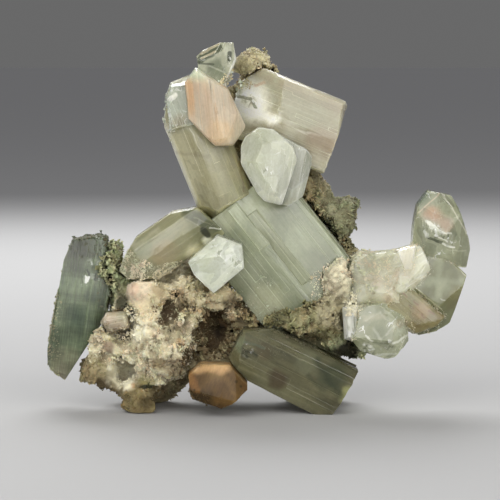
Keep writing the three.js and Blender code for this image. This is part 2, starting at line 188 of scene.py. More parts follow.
# node and slot, and for each crystal its name, widest step across and along its c axis, and deepest step
PIECES = [
    ("central_apophyllite", "sage_crystal", [("central_prism", 1.5, 5, 0.28), ("central_ledge", 1, 5, 0.24),
        ("central_rib", 1, 5, 0.2), ("left_column", 1.1, 6.5, 0.12), ("left_column_side", 0.9, 2.6, 0.12),
        ("right_block", 0.9, 4, 0.2), ("front_knob", 1.8, 3.4, 0.12), ("behind_knob", 1, 3, 0.14),
        ("clear_tip", 1.4, 2.2, 0.12)]),
    ("pink_stilbite", "pink_crystal", [("pink_crystal", 1.1, 5, 0.12)]),
    ("bright_apophyllite", "clear_crystal", [("bright_crystal", 2, 2.6, 0.14)]),
    ("cream_apophyllite", "cream_crystal", [("cream_crystal", 1.4, 3, 0.2)]),
    ("dark_apophyllite", "blue_green_crystal", [("dark_crystal", 0.6, 3, 0.3)]),
    ("lower_apophyllite", "smoky_crystal", [("lower_crystal", 1.3, 4, 0.2)]),
    ("peach_stilbite", "peach_crystal", [("peach_crystal", 1.1, 5, 0.1)]),
    ("right_apophyllite", "pale_crystal", [("round_crystal", 1.6, 2.2, 0.08),
        ("small_column", 0.8, 1.8, 0.16), ("cream_body", 1.4, 2.4, 0.24), ("right_body", 1.6, 2.6, 0.06),
        ("hook_crystal", 1.6, 2.4, 0.05), ("cream_shoulder", 1.2, 2.4, 0.2), ("tan_body", 1, 2.4, 0.24),
        ("cream_sliver", 0.8, 2.4, 0.16)]),
    ("lilac_crystal", "lilac_crystal", [("lilac_sliver", 0.8, 1.8, 0.16)]),
]
GROWN = {node: [crystal[0] for crystal in crystals] for node, _, crystals in PIECES}


def found_shift():
    """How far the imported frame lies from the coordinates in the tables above, in millimetres."""
    low = np.full(3, 1e9)
    for name in GROWN["central_apophyllite"]:
        at, turn, normals, distances = half_spaces(name)
        low = np.minimum(low, (corner_points(normals, distances) @ turn.T + at).min(axis=0))
    shift = np.array(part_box("central_apophyllite")[0]) / MM - low
    shift[2] = 0
    return shift


SHIFT = found_shift()


# ---------------------------------------------------------------- mesh helpers

def new_object(name, data):
    obj = bpy.data.objects.new(name, data)
    bpy.context.scene.collection.objects.link(obj)
    return obj


def finish_piece(name, mesh, node, material=None):
    obj = new_object(name, mesh)
    if material:
        mesh.materials.clear()
        mesh.materials.append(material)
    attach(obj, "root")
    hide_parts(node)


def evaluated_mesh(obj):
    return bpy.data.meshes.new_from_object(obj.evaluated_get(bpy.context.evaluated_depsgraph_get()))


def rows_of(items, key, width=3, kind=float):
    """One property of a mesh's vertices, edges or triangles as an array, a row for each."""
    values = np.empty(len(items) * width, kind)
    items.foreach_get(key, values)
    return values.reshape(-1, width)


# millimetres: half the run of a step's riser, the bevel of a crystal's edges and how deep their chips are
RAMP = 0.03
BEVEL = 0.26
WEAR = 0.56


def cut_planes(low, high, rng, widest):
    """The places of the steps across one axis, irregular."""
    places = []
    at = low + rng.uniform(0.4, 1.0) * widest
    while at < high - 0.3 * widest:
        places.append(at)
        at += widest * rng.choice([0.28, 0.45, 0.7, 1.0, 1.5], p=[0.22, 0.26, 0.22, 0.2, 0.1])
    return np.array(places)


def cut_through(bm, place, direction, size=1e-5, **settings):
    bmesh.ops.bisect_plane(bm, geom=bm.verts[:] + bm.edges[:] + bm.faces[:], dist=size, plane_co=place,
                           plane_no=direction, **settings)


def cell_place(values, places):
    """A coordinate's cell number, moving from one cell to the next across the riser between them."""
    if len(places) == 0:
        return np.zeros(len(values))
    xs = np.ravel(np.column_stack((places - RAMP, places + RAMP)))
    ys = np.ravel(np.column_stack((np.arange(len(places)), np.arange(1, len(places) + 1))))
    return np.interp(values, xs, ys)


def step_field(rng, count_u, count_v):
    """Heights 0 to 1 of the cells of one face: long steps along v that end in ledges."""
    level = np.zeros(count_u)
    height = rng.uniform(0, 1)
    for i in range(count_u):
        if rng.random() < 0.72:
            height = np.clip(height + rng.normal(0, 0.36), 0, 1)
        level[i] = height
    field = np.repeat(level[:, None], count_v, axis=1)
    for _ in range(max(2, count_u // 3)):
        start = rng.integers(0, count_u)
        end = min(count_u, start + rng.integers(1, 6))
        turn = rng.integers(0, count_v + 1)
        side = slice(turn, None) if rng.random() < 0.5 else slice(0, turn)
        field[start:end, side] += rng.normal(0, 0.35)
    return np.clip(field, 0, 1.3)


def stand_on_floor(mesh):
    bm = bmesh.new()
    bm.from_mesh(mesh)
    cut_through(bm, (0, 0, 0), (0, 0, 1), 1e-8, clear_inner=True)
    bmesh.ops.holes_fill(bm, edges=[e for e in bm.edges if e.is_boundary], sides=0)
    bm.to_mesh(mesh)
    bm.free()


def crystal_mesh(name, seed, strip, ledge, depth):
    """The crystal's solid with bevelled edges, and its faces carved in long steps along the c axis.
    strip and ledge are the widest steps across and along it, depth the deepest step, in millimetres."""
    rng = np.random.default_rng(seed)
    at, turn, normals, distances = half_spaces(name)
    points = corner_points(normals, distances)
    bm = bmesh.new()
    verts = [bm.verts.new(p) for p in points]
    for n, d in zip(normals, distances):
        on = [i for i, p in enumerate(points) if abs(n @ p - d) < 1e-4]
        if len(on) < 3:
            continue
        centre = points[on].mean(axis=0)
        u = points[on[0]] - centre
        u /= np.linalg.norm(u)
        w = np.cross(n, u)
        on.sort(key=lambda i: math.atan2((points[i] - centre) @ w, (points[i] - centre) @ u))
        bm.faces.new([verts[i] for i in on])
    for v in [v for v in bm.verts if not v.link_faces]:
        bm.verts.remove(v)
    bmesh.ops.bevel(bm, geom=bm.edges[:], offset=BEVEL, segments=1, affect="EDGES", clamp_overlap=True)
    low, high = points.min(axis=0), points.max(axis=0)
    cuts = []
    for axis, widest in enumerate((strip, strip * 1.15, ledge)):
        places = cut_planes(low[axis], high[axis], rng, widest)
        cuts.append(places)
        direction = Vector([1 if i == axis else 0 for i in range(3)])
        for place in np.ravel(np.column_stack((places - RAMP, places + RAMP))):
            cut_through(bm, direction * float(place), direction)
    mesh = bpy.data.meshes.new(name)
    bm.to_mesh(mesh)
    bm.free()
    co = rows_of(mesh.vertices, "co")
    cells = [cell_place(co[:, axis], cuts[axis]) for axis in range(3)]
    used = [k for k in range(len(normals)) if (np.abs(points @ normals[k] - distances[k]) < 1e-4).sum() >= 3]
    heights = np.zeros((len(co), len(used)))
    gaps = np.zeros((len(co), len(used)))
    for column, k in enumerate(used):
        main = int(np.abs(normals[k]).argmax())
        a, b = [axis for axis in range(3) if axis != main]
        field = step_field(rng, len(cuts[a]) + 1, len(cuts[b]) + 1)
        ia, ib = cells[a], cells[b]
        a0, b0 = np.floor(ia).astype(int), np.floor(ib).astype(int)
        a1, b1 = np.minimum(a0 + 1, field.shape[0] - 1), np.minimum(b0 + 1, field.shape[1] - 1)
        fa, fb = ia - a0, ib - b0
        heights[:, column] = ((field[a0, b0] * (1 - fa) + field[a1, b0] * fa) * (1 - fb)
                              + (field[a0, b1] * (1 - fa) + field[a1, b1] * fa) * fb)
        gaps[:, column] = distances[k] - co @ normals[k]
    touch = gaps < BEVEL * 1.2
    moves = np.zeros_like(co)
    keys = np.packbits(touch, axis=1)
    for key in np.unique(keys, axis=0):
        rows = np.where((keys == key).all(axis=1))[0]
        on = np.where(touch[rows[0]])[0]
        if len(on) == 0:
            continue
        n = normals[[used[i] for i in on]]
        solved = np.linalg.solve(n @ n.T + 0.06 * np.eye(len(on)), (depth * heights[rows][:, on]).T)
        moves[rows] = -(n.T @ solved).T
    inward = -co / np.maximum(np.linalg.norm(co, axis=1, keepdims=True), 1e-9)
    for i in np.where(touch.sum(axis=1) >= 2)[0]:
        chip = noise.noise(Vector(co[i] * 0.9 + seed * 3.1)) - 0.1
        if chip > 0:
            moves[i] += inward[i] * WEAR * chip
    co = ((co + moves) @ turn.T + at + SHIFT) * MM
    mesh.vertices.foreach_set("co", co.ravel())
    if co[:, 2].min() < 0:
        stand_on_floor(mesh)
    mesh.update()
    return mesh


# ---------------------------------------------------------------- materials

class Graph:
    """A material's node tree, with short calls for the nodes that the stones share."""

    def __init__(self, name, own_frame=None):
        self.own_frame = own_frame
        self.material = bpy.data.materials.new(name)
        self.material.use_nodes = True
        self.tree = self.material.node_tree
        self.shader = self.tree.nodes["Principled BSDF"]

    def node(self, kind, inputs=None, **settings):
        made = self.tree.nodes.new(kind)
        for key, value in settings.items():
            setattr(made, key, value)
        for key, value in (inputs or {}).items():
            self.set(made, key, value)
        return made

    def set(self, made, key, value):
        socket = made.inputs[key]
        if isinstance(value, bpy.types.NodeSocket):
            self.tree.links.new(value, socket)
        elif isinstance(value, (tuple, list)) and len(value) == 3 and socket.type == "RGBA":
            socket.default_value = (*value, 1)
        else:
            socket.default_value = value

    def surface(self, values):
        """The material, with these values or links on its shader."""
        for key, value in values.items():
            self.set(self.shader, key, value)
        return self.material

    def coords(self, stretch=(1, 1, 1), at=(0, 0, 0)):
        if not hasattr(self, "object_coords"):
            self.object_coords = self.node("ShaderNodeTexCoord").outputs["Object"]
            if self.own_frame:
                self.object_coords = self.node("ShaderNodeMapping", {
                    "Vector": self.object_coords, "Location": self.own_frame[0],
                    "Rotation": (0, self.own_frame[1], 0)}, vector_type="TEXTURE").outputs["Vector"]
        return self.node("ShaderNodeMapping", {"Vector": self.object_coords, "Scale": stretch,
                                               "Location": at}).outputs["Vector"]

    def noise(self, scale, stretch=(1, 1, 1), detail=4, rough=0.55, distortion=0, at=(0, 0, 0)):
        return self.node("ShaderNodeTexNoise", {
            "Vector": self.coords(stretch, at), "Scale": scale, "Detail": detail, "Roughness": rough,
            "Distortion": distortion}).outputs["Fac"]

    def drift(self, scale, detail):
        """A noise with three channels, for moving a point about."""
        return self.node("ShaderNodeTexNoise", {"Vector": self.coords(), "Scale": scale,
                                                "Detail": detail}).outputs["Color"]

    def band(self, value, low, high, to=(0, 1)):
        return self.node("ShaderNodeMapRange", {"Value": value, "From Min": low, "From Max": high,
                                                "To Min": to[0], "To Max": to[1]},
                         interpolation_type="SMOOTHSTEP").outputs["Result"]

    def maths(self, operation, a, b):
        return self.node("ShaderNodeMath", {0: a, 1: b}, operation=operation).outputs[0]

    def times(self, a, b):
        return self.maths("MULTIPLY", a, b)

    def vector(self, operation, *inputs):
        made = self.node("ShaderNodeVectorMath", dict(enumerate(inputs)), operation=operation)
        return made.outputs["Value" if operation in ("LENGTH", "DOT_PRODUCT") else "Vector"]

    def scaled(self, value, factor):
        return self.node("ShaderNodeVectorMath", {0: value, "Scale": factor}, operation="SCALE").outputs[0]

    def geometry(self, output="Normal"):
        return self.node("ShaderNodeNewGeometry").outputs[output]

    def attribute(self, name, output):
        return self.node("ShaderNodeAttribute", attribute_name=name).outputs[output]

    def mix(self, factor, a, b):
        return self.node("ShaderNodeMix", {"Factor": factor, 6: a, 7: b}, data_type="RGBA").outputs[2]

    def mixed_normal(self, factor, a, b):
        made = self.node("ShaderNodeMix", {"Factor": factor, 4: a, 5: b}, data_type="VECTOR")
        return self.vector("NORMALIZE", made.outputs[1])

    def shades(self, colour, value, saturation=1.0):
        return self.node("ShaderNodeHueSaturation", {"Color": colour, "Value": value,
                                                     "Saturation": saturation}).outputs["Color"]

    def bump(self, height, strength, distance, under=None):
        inputs = {"Height": height, "Strength": strength, "Distance": distance}
        if under is not None:
            inputs["Normal"] = under
        return self.node("ShaderNodeBump", inputs).outputs["Normal"]

    def shaken(self, wobble):
        """The point of the object's own frame, moved a little by a noise."""
        if not hasattr(self, "shake"):
            self.shake = self.vector("SUBTRACT", self.drift(320, 3), (0.5, 0.5, 0.5))
        return self.vector("ADD", self.coords(), self.scaled(self.shake, wobble * 2.4))

    def spot(self, at, radius, soft, wobble, squash):
        """A mask that is 1 round a point of the object's own frame and fades over an uneven rim."""
        offset = self.vector("MULTIPLY", self.vector("SUBTRACT", self.shaken(wobble), tuple(at)), squash)
        return self.band(self.vector("LENGTH", offset), radius, radius * (1 - soft))

    def stroke(self, start, end, radius, soft, wobble, squash):
        """A mask along a straight line between two points of the object's own frame."""
        along = (np.array(end) - start) * squash
        offset = self.vector("MULTIPLY", self.vector("SUBTRACT", self.shaken(wobble), tuple(start)), squash)
        part = self.vector("DOT_PRODUCT", offset, tuple(along / (along @ along)))
        part = self.node("ShaderNodeClamp", {"Value": part}).outputs[0]
        nearest = self.scaled(tuple(along), part)
        return self.band(self.vector("LENGTH", self.vector("SUBTRACT", offset, nearest)), radius,
                         radius * (1 - soft))


def linear(r, g, b):
    """A colour given in 0 to 255 sRGB steps, as the shaders want it."""
    def one(v):
        v /= 255
        return v / 12.92 if v <= 0.04045 else ((v + 0.055) / 1.055) ** 2.4
    return (one(r), one(g), one(b))


# white of the painted glints, and the radius in metres of the edges that get the painted highlight
GLINT_TONE = (0.93, 0.94, 0.9)
RIM_RADIUS = 0.00024


def crystal_material(name, own_frame, body, veil, stain, seed, spots, strokes, cracked, clear=0.16,
                     glaze=0.13, absorb=None, absorb_density=20, veil_amount=0.6, stain_amount=0.45,
                     streak=1000, run=0.08, cloud=110, facet=0.05, cell=230, seam=0, glints=0, cross=0,
                     edge=0.5, edge_tone=None, scatter=1, depth=0.004, shine=0.5, line_bump=0.25,
                     lines_amount=0.05, calm=0.2, level=0.4):
    """A milky zeolite crystal: clouds, streaks along its c axis (local z), inner planes, and a painted
    highlight along its edges.

    body, veil and stain are its tones, absorb what its thickness takes out, and the edge tone is the colour
    of the painted highlight along its edges.
    streak, run and cloud set the size of its streaks and clouds; cross adds bands across them.
    facet, cell and seam are the inner planes, glints its painted glints, level how much lighter its sides are
    painted.
    clear is its transmission, glaze its roughness, calm how much its faces are rounded in the shading.
    """
    g = Graph(name, own_frame)
    fine = g.noise(streak, (1, 1, run), 4, 0.6, at=(seed, seed * 0.7, seed * 0.3))
    broad = g.noise(streak * 0.28, (1, 1, run * 1.6), 3, 0.5, at=(seed + 1, 0, 0))
    clouds = g.noise(cloud, (1, 1, 0.6), 5, 0.6, 0.4, at=(0, seed + 2, 0))
    lines = g.noise(streak * 2.6, (1, 1, 0.03), 3, 0.6, at=(0, 0, seed))
    grit = g.noise(1700, (1, 1, 1), 3, 0.6)
    colour = g.mix(g.times(g.band(broad, 0.38, 0.68), stain_amount), body, stain)
    cloudy = g.times(g.band(clouds, 0.32, 0.68), g.band(fine, 0.3, 0.7, (0.5, 1)))
    colour = g.mix(g.times(cloudy, veil_amount), colour, veil)
    # pale tone of the painted highlight along the edges, also used for the seams' lines
    bright = edge_tone or tuple(min(0.95, 1.5 * v) for v in veil)
    silk = g.times(g.band(fine, 0.54, 0.7), g.band(broad, 0.55, 0.42))
    colour = g.mix(g.times(silk, 0.45 * veil_amount), colour, tuple(min(1, 1.15 * v) for v in veil))
    for tone, amount, where in spots:
        colour = g.mix(g.times(g.spot(*where), amount), colour, tone)
    for tone, amount, where in strokes:
        colour = g.mix(g.times(g.stroke(*where), amount), colour, tone)

    cells = g.vector("ADD", g.coords((1, 1, 0.55)), g.scaled(g.drift(260, 2), 0.0022))
    planes = g.node("ShaderNodeTexVoronoi", {"Vector": cells, "Scale": cell}).outputs["Color"]
    planes = g.node("ShaderNodeSeparateColor", {"Color": planes}).outputs[0]
    shade = g.times(g.band(lines, 0.32, 0.68, (1 - lines_amount, 1 + 0.8 * lines_amount)),
                    g.band(grit, 0.35, 0.75, (1.03, 0.93)))
    if cross:
        bands = g.noise(520, (0.16, 0.16, 1), 4, 0.6, at=(3, seed, 0))
        shade = g.times(shade, g.band(bands, 0.3, 0.7, (1 - cross, 1 + cross)))
    if level:
        # painted light: faces that look up or sideways are painted lighter, those that look to the front or
        # back stay as they are
        faced = g.maths("ABSOLUTE", g.vector("DOT_PRODUCT", g.geometry(), (0, -0.97, 0.24)), 0)
        shade = g.times(shade, g.band(faced, 0.95, 0.1, (1, 1 + level)))
    colour = g.shades(colour, g.times(shade, g.band(planes, 0, 1, (1 - facet, 1 + facet))))
    if seam:
        rims = g.node("ShaderNodeTexVoronoi", {"Vector": cells, "Scale": cell}, feature="DISTANCE_TO_EDGE")
        crack = g.times(g.band(rims.outputs["Distance"], 0.07, 0.0), g.band(clouds, 0.46, 0.64))
        colour = g.mix(g.times(crack, seam), colour, bright)
    if glints:
        # painted glints: thin bright curved arcs in some places
        curls = g.noise(330, (1, 1, 0.6), 2, 0.5, at=(seed, 1, 2))
        arc = g.band(g.maths("ABSOLUTE", g.maths("SUBTRACT", curls, 0.5), 0), 0.012, 0.003)
        some = g.band(g.noise(300, (1, 1, 1), 2, 0.5, at=(3, seed, 0)), 0.53, 0.62)
        colour = g.mix(g.times(g.times(arc, some), glints), colour, GLINT_TONE)
    if cracked:
        bent = g.vector("ADD", g.coords((1, 1, 0.6)), g.scaled(g.drift(600, 2), 0.0016))
        shards = g.node("ShaderNodeTexVoronoi", {"Vector": bent, "Scale": 1350}).outputs["Color"]
        shards = g.node("ShaderNodeSeparateColor", {"Color": shards}).outputs
        # dark shards in the stain's tone, and bright shards that are painted glints
        shard = g.mix(g.band(shards[0], 0.1, 0.75), tuple(0.6 * v for v in stain), veil)
        shard = g.mix(g.band(shards[1], 0.72, 0.86), shard, GLINT_TONE)
        for where in cracked:
            place = g.times(g.spot(*where), g.band(shards[2], 0.15, 0.6, (0.15, 0.8)))
            colour = g.mix(place, colour, shard)
    if edge:
        # painted highlight along the edges, found with the Bevel node's rounded normal; the crystal is less
        # clear there
        rounded = g.node("ShaderNodeBevel", {"Radius": RIM_RADIUS}, samples=6).outputs["Normal"]
        turned = g.vector("DOT_PRODUCT", rounded, g.geometry("True Normal"))
        edge_highlight_mask = g.times(g.times(g.band(turned, 0.985, 0.86), g.band(clouds, 0.34, 0.58, (0.25, 1))), edge)
        colour = g.mix(edge_highlight_mask, colour, bright)
        if clear:
            clear = g.band(edge_highlight_mask, 0, 0.5, (clear, 0.2 * clear))

    bump = g.bump(g.noise(700, (1, 1, 0.4), 4, 0.6), 0.16, 0.0001, g.bump(lines, line_bump, 0.00008))
    round_normal = g.node("ShaderNodeMapping", {"Vector": g.coords((1, 1, 0.25)),
                                                "Rotation": (0, own_frame[1], 0)}, vector_type="VECTOR")
    round_normal = g.vector("NORMALIZE", round_normal.outputs["Vector"])
    if absorb:
        volume = g.node("ShaderNodeVolumeAbsorption", {"Color": absorb, "Density": absorb_density})
        g.tree.links.new(volume.outputs["Volume"], g.tree.nodes["Material Output"].inputs["Volume"])
    return g.surface({
        "Base Color": colour,
        "Roughness": g.band(g.maths("ADD", cloudy, g.times(grit, 0.4)), 0, 1.2, (glaze * 0.7, glaze * 2)),
        "IOR": 1.535, "Normal": g.mixed_normal(calm, bump, round_normal), "Specular IOR Level": shine,
        "Transmission Weight": clear, "Subsurface Weight": scatter, "Subsurface Radius": (1.0, 0.98, 0.85),
        "Subsurface Scale": depth})


# stains and painted light and shade run in from this depth of the front (millimetres), marks in crystals run
# right through them
STAIN_FRONT = -13
THROUGH = 0.02
# x and z in the front view and radius in millimetres, colour in sRGB steps, amount, how much wider than tall
# rows are stains of the druse and painted light and shade: the palest rows lift crevices, hollows and
# undersides in shadow; the black-brown rows at x -10.6, -15.6 and 22.6 are painted shade in the cavity and
# under the bridge
STAINS_AND_PAINTED_LIGHT = [
    (-35, 10, 4.4, (255, 248, 214), 0.75, 1), (-21.2, 12.4, 4.8, (112, 94, 66), 0.6, 1.2),
    (-28.3, 7.4, 3.2, (34, 38, 20), 0.95, 3.6), (-28, 8.8, 3.6, (150, 148, 104), 0.6, 3),
    (-32.2, 7.4, 1, (190, 136, 84), 0.7, 1), (-37.9, 4.3, 0.9, (156, 112, 48), 0.9, 1),
    (-43.3, 5.8, 0.8, (156, 112, 48), 0.8, 1), (-38.4, 17, 2, (112, 86, 74), 0.7, 0.8),
    (-20, 19, 1.6, (206, 156, 104), 0.4, 1.6), (-35.2, 28.6, 2.6, (50, 52, 34), 0.9, 0.8),
    (-31.6, 21.6, 4, (255, 248, 216), 0.85, 0.8), (-22.8, 34.2, 6.4, (252, 240, 204), 0.75, 2),
    (-30.8, 34.8, 3, (232, 218, 188), 0.75, 1), (-22.2, 21.6, 3, (170, 160, 128), 0.6, 1),
    (-7, 28.6, 3, (96, 84, 60), 0.6, 1), (5.6, 25.2, 3.2, (84, 82, 56), 0.65, 1),
    (19, 26.6, 5.4, (206, 196, 162), 0.55, 1.2), (22.6, 15, 5.4, (24, 22, 12), 0.95, 1.2),
    (24.2, 28.6, 2.9, (250, 244, 214), 0.85, 0.7), (3, 87, 2.2, (104, 76, 62), 0.8, 1.4),
    (-4, 88, 2, (118, 124, 84), 0.6, 0.7), (0, 89.6, 1.4, (128, 132, 90), 0.5, 1),
    (17, 60.6, 5, (92, 96, 72), 0.65, 0.8), (15, 53.2, 3, (150, 154, 124), 0.5, 1),
    (23.2, 41.8, 3, (244, 240, 208), 0.85, 1), (-39.8, 6.6, 3.2, (72, 58, 38), 0.85, 1.2),
    (-26, 5.2, 2.6, (98, 84, 54), 0.6, 1), (-28.8, 3, 2.2, (84, 72, 46), 0.7, 1),
    (24.6, 47.4, 3.4, (140, 138, 108), 0.4, 1), (-5.3, 84.9, 2.8, (246, 242, 216), 0.9, 1),
    (-10.6, 19.8, 3.6, (16, 10, 4), 0.95, 0.9), (-15.6, 13.6, 2.2, (22, 16, 8), 0.85, 0.6),
    (-25.6, 13.2, 2.2, (126, 106, 74), 0.6, 1), (-18.6, 22.6, 1.8, (90, 78, 54), 0.6, 1),
    (-3.8, 69.3, 2.8, (240, 232, 200), 0.85, 1), (-32.2, 32, 2.2, (208, 172, 146), 0.5, 1),
    (-25.6, 31.6, 2.6, (160, 140, 108), 0.6, 1.2), (-35, 19.5, 2, (226, 212, 182), 0.7, 1),
    (-6.9, 19.5, 2, (146, 144, 112), 0.7, 1), (-13.2, 22.8, 1.8, (136, 118, 88), 0.6, 1),
    (-35, 10, 5.2, (255, 250, 222), 0.6, 1), (-20.6, 36.4, 3.2, (255, 246, 214), 0.85, 1.6),
    (-37.2, 5.2, 2.8, (92, 78, 52), 0.8, 1.4), (-38.2, 9.6, 2, (146, 136, 106), 0.7, 1),
    (-19.4, 28.8, 2, (96, 84, 58), 0.7, 1), (21.2, 22.6, 2.2, (200, 190, 158), 0.7, 1),
]


def with_stains_and_painted_light(g, colour):
    """The colour with the stains of the druse and the painted light and shade laid over it, on its front
    half.
    """
    for x, z, radius, tone, amount, flat in STAINS_AND_PAINTED_LIGHT:
        place = tuple(float(v) for v in (np.array((x, STAIN_FRONT, z)) + SHIFT) * MM)
        mask = g.spot(place, radius * MM, 0.5, 0.4 * radius * MM, (1, 0.12, flat))
        colour = g.mix(g.times(mask, amount), colour, linear(*tone))
    return colour


def druse_material(name, tones, calm):
    """Small grown crystals and crusts, each of its own tone, with painted shade toward a dark brown between
    them, in creases and hollows.
    """
    g = Graph(name)
    tones = [linear(*tone) for tone in tones]
    ramp = g.node("ShaderNodeValToRGB", {"Fac": g.geometry("Random Per Island")})
    ramp.color_ramp.elements[0].color = (*tones[0], 1)
    ramp.color_ramp.elements[1].color = (*tones[-1], 1)
    for i, tone in enumerate(tones[1:-1], 1):
        ramp.color_ramp.elements.new(i / (len(tones) - 1)).color = (*tone, 1)
    patch = g.band(g.noise(210, detail=5, rough=0.6), 0.32, 0.68, (0.86, 1.08))
    patch = g.times(patch, g.band(g.noise(760, detail=2, at=(0, 0, 9)), 0.34, 0.62, (0.78, 1.08)))
    colour = g.shades(ramp.outputs["Color"], patch)
    blush = g.band(g.noise(330, detail=3, at=(5, 0, 0)), 0.4, 0.62)
    rosy = g.mix(blush, (0.94, 1.0, 0.95), (1.04, 0.94, 0.93))
    tinted = g.vector("MULTIPLY", colour, rosy)
    # painted shade: the shade attribute, low in creases and hollows, takes the grains toward the dark brown
    # of the pits; specks break it up
    shade = g.attribute("shade", "Fac")
    speck = g.band(g.noise(900, detail=4, at=(0, 7, 0)), 0.36, 0.48)
    lit = g.maths("MAXIMUM", speck, g.band(shade, 0.5, 0.9, (0.55, 0.97)))
    colour = with_stains_and_painted_light(g, g.mix(g.times(g.band(shade, 0.1, 0.75), lit), PIT, tinted))
    ground, own = g.attribute("ground", "Vector"), g.geometry()
    facing = g.vector("DOT_PRODUCT", own, ground)
    soft = g.mixed_normal(g.band(facing, -0.2, 0.5, (0, calm)), own, ground)
    return g.surface({
        "Base Color": colour, "Roughness": 0.75, "IOR": 1.5, "Specular IOR Level": 0.25,
        "Normal": g.bump(g.noise(3200, detail=3), 0.12, 0.00006, soft), "Subsurface Weight": 0.4,
        "Subsurface Radius": (1.0, 0.96, 0.9), "Subsurface Scale": 0.0006})


# ---------------------------------------------------------------- the large crystals

def frame_of(name):
    """Where the crystal's centre lies, in metres, and its turn about the depth axis."""
    at, angle, _ = CRYSTALS[name]
    return [float(v) * MM for v in np.array(at) + SHIFT], math.radians(90 - angle)


def in_own_frame(name, x, z):
    """A front-view place (millimetres) at the crystal's middle depth, in metres of its own frame."""
    at, turn, _, _ = half_spaces(name)
    return (np.array((x, at[1], z)) - at) @ turn * MM


def spot_at(name, x, z, radius, tone, amount, soft=0.6, squash=(1, 1), wobble=0.3):
    """A place painted in another tone that runs through the crystal's depth, given by front-view millimetres;
    it carries stains and also painted light and shade.
    """
    local = in_own_frame(name, x, z)
    flat = (squash[0], THROUGH, squash[1])
    return (linear(*tone), amount, (local, radius * MM, soft, min(1.2, wobble * radius) * MM, flat))


def crack_at(name, x, z, radius, squash=(1, 1)):
    """A place where the crystal is broken into dark shards inside, among them bright ones that are painted
    glints.
    """
    return spot_at(name, x, z, radius, GLINT_WHITE, 0, 0.7, squash, 0.6)[2]


def stroke_at(name, x, z, to_x, to_z, radius, tone, amount, soft=0.5, wobble=0.5):
    """A line of another tone through the crystal's depth, between two front-view places in millimetres; it
    carries stains and also painted glints, highlights and shade.
    """
    start, end = in_own_frame(name, x, z), in_own_frame(name, to_x, to_z)
    where = (start, end, radius * MM, soft, min(1.0, wobble * radius) * MM, (1, THROUGH, 1))
    return (linear(*tone), amount, where)


# white of the painted glints and highlights drawn as strokes in the crystals
GLINT_WHITE = (244, 244, 232)
PALE = (206, 208, 188)
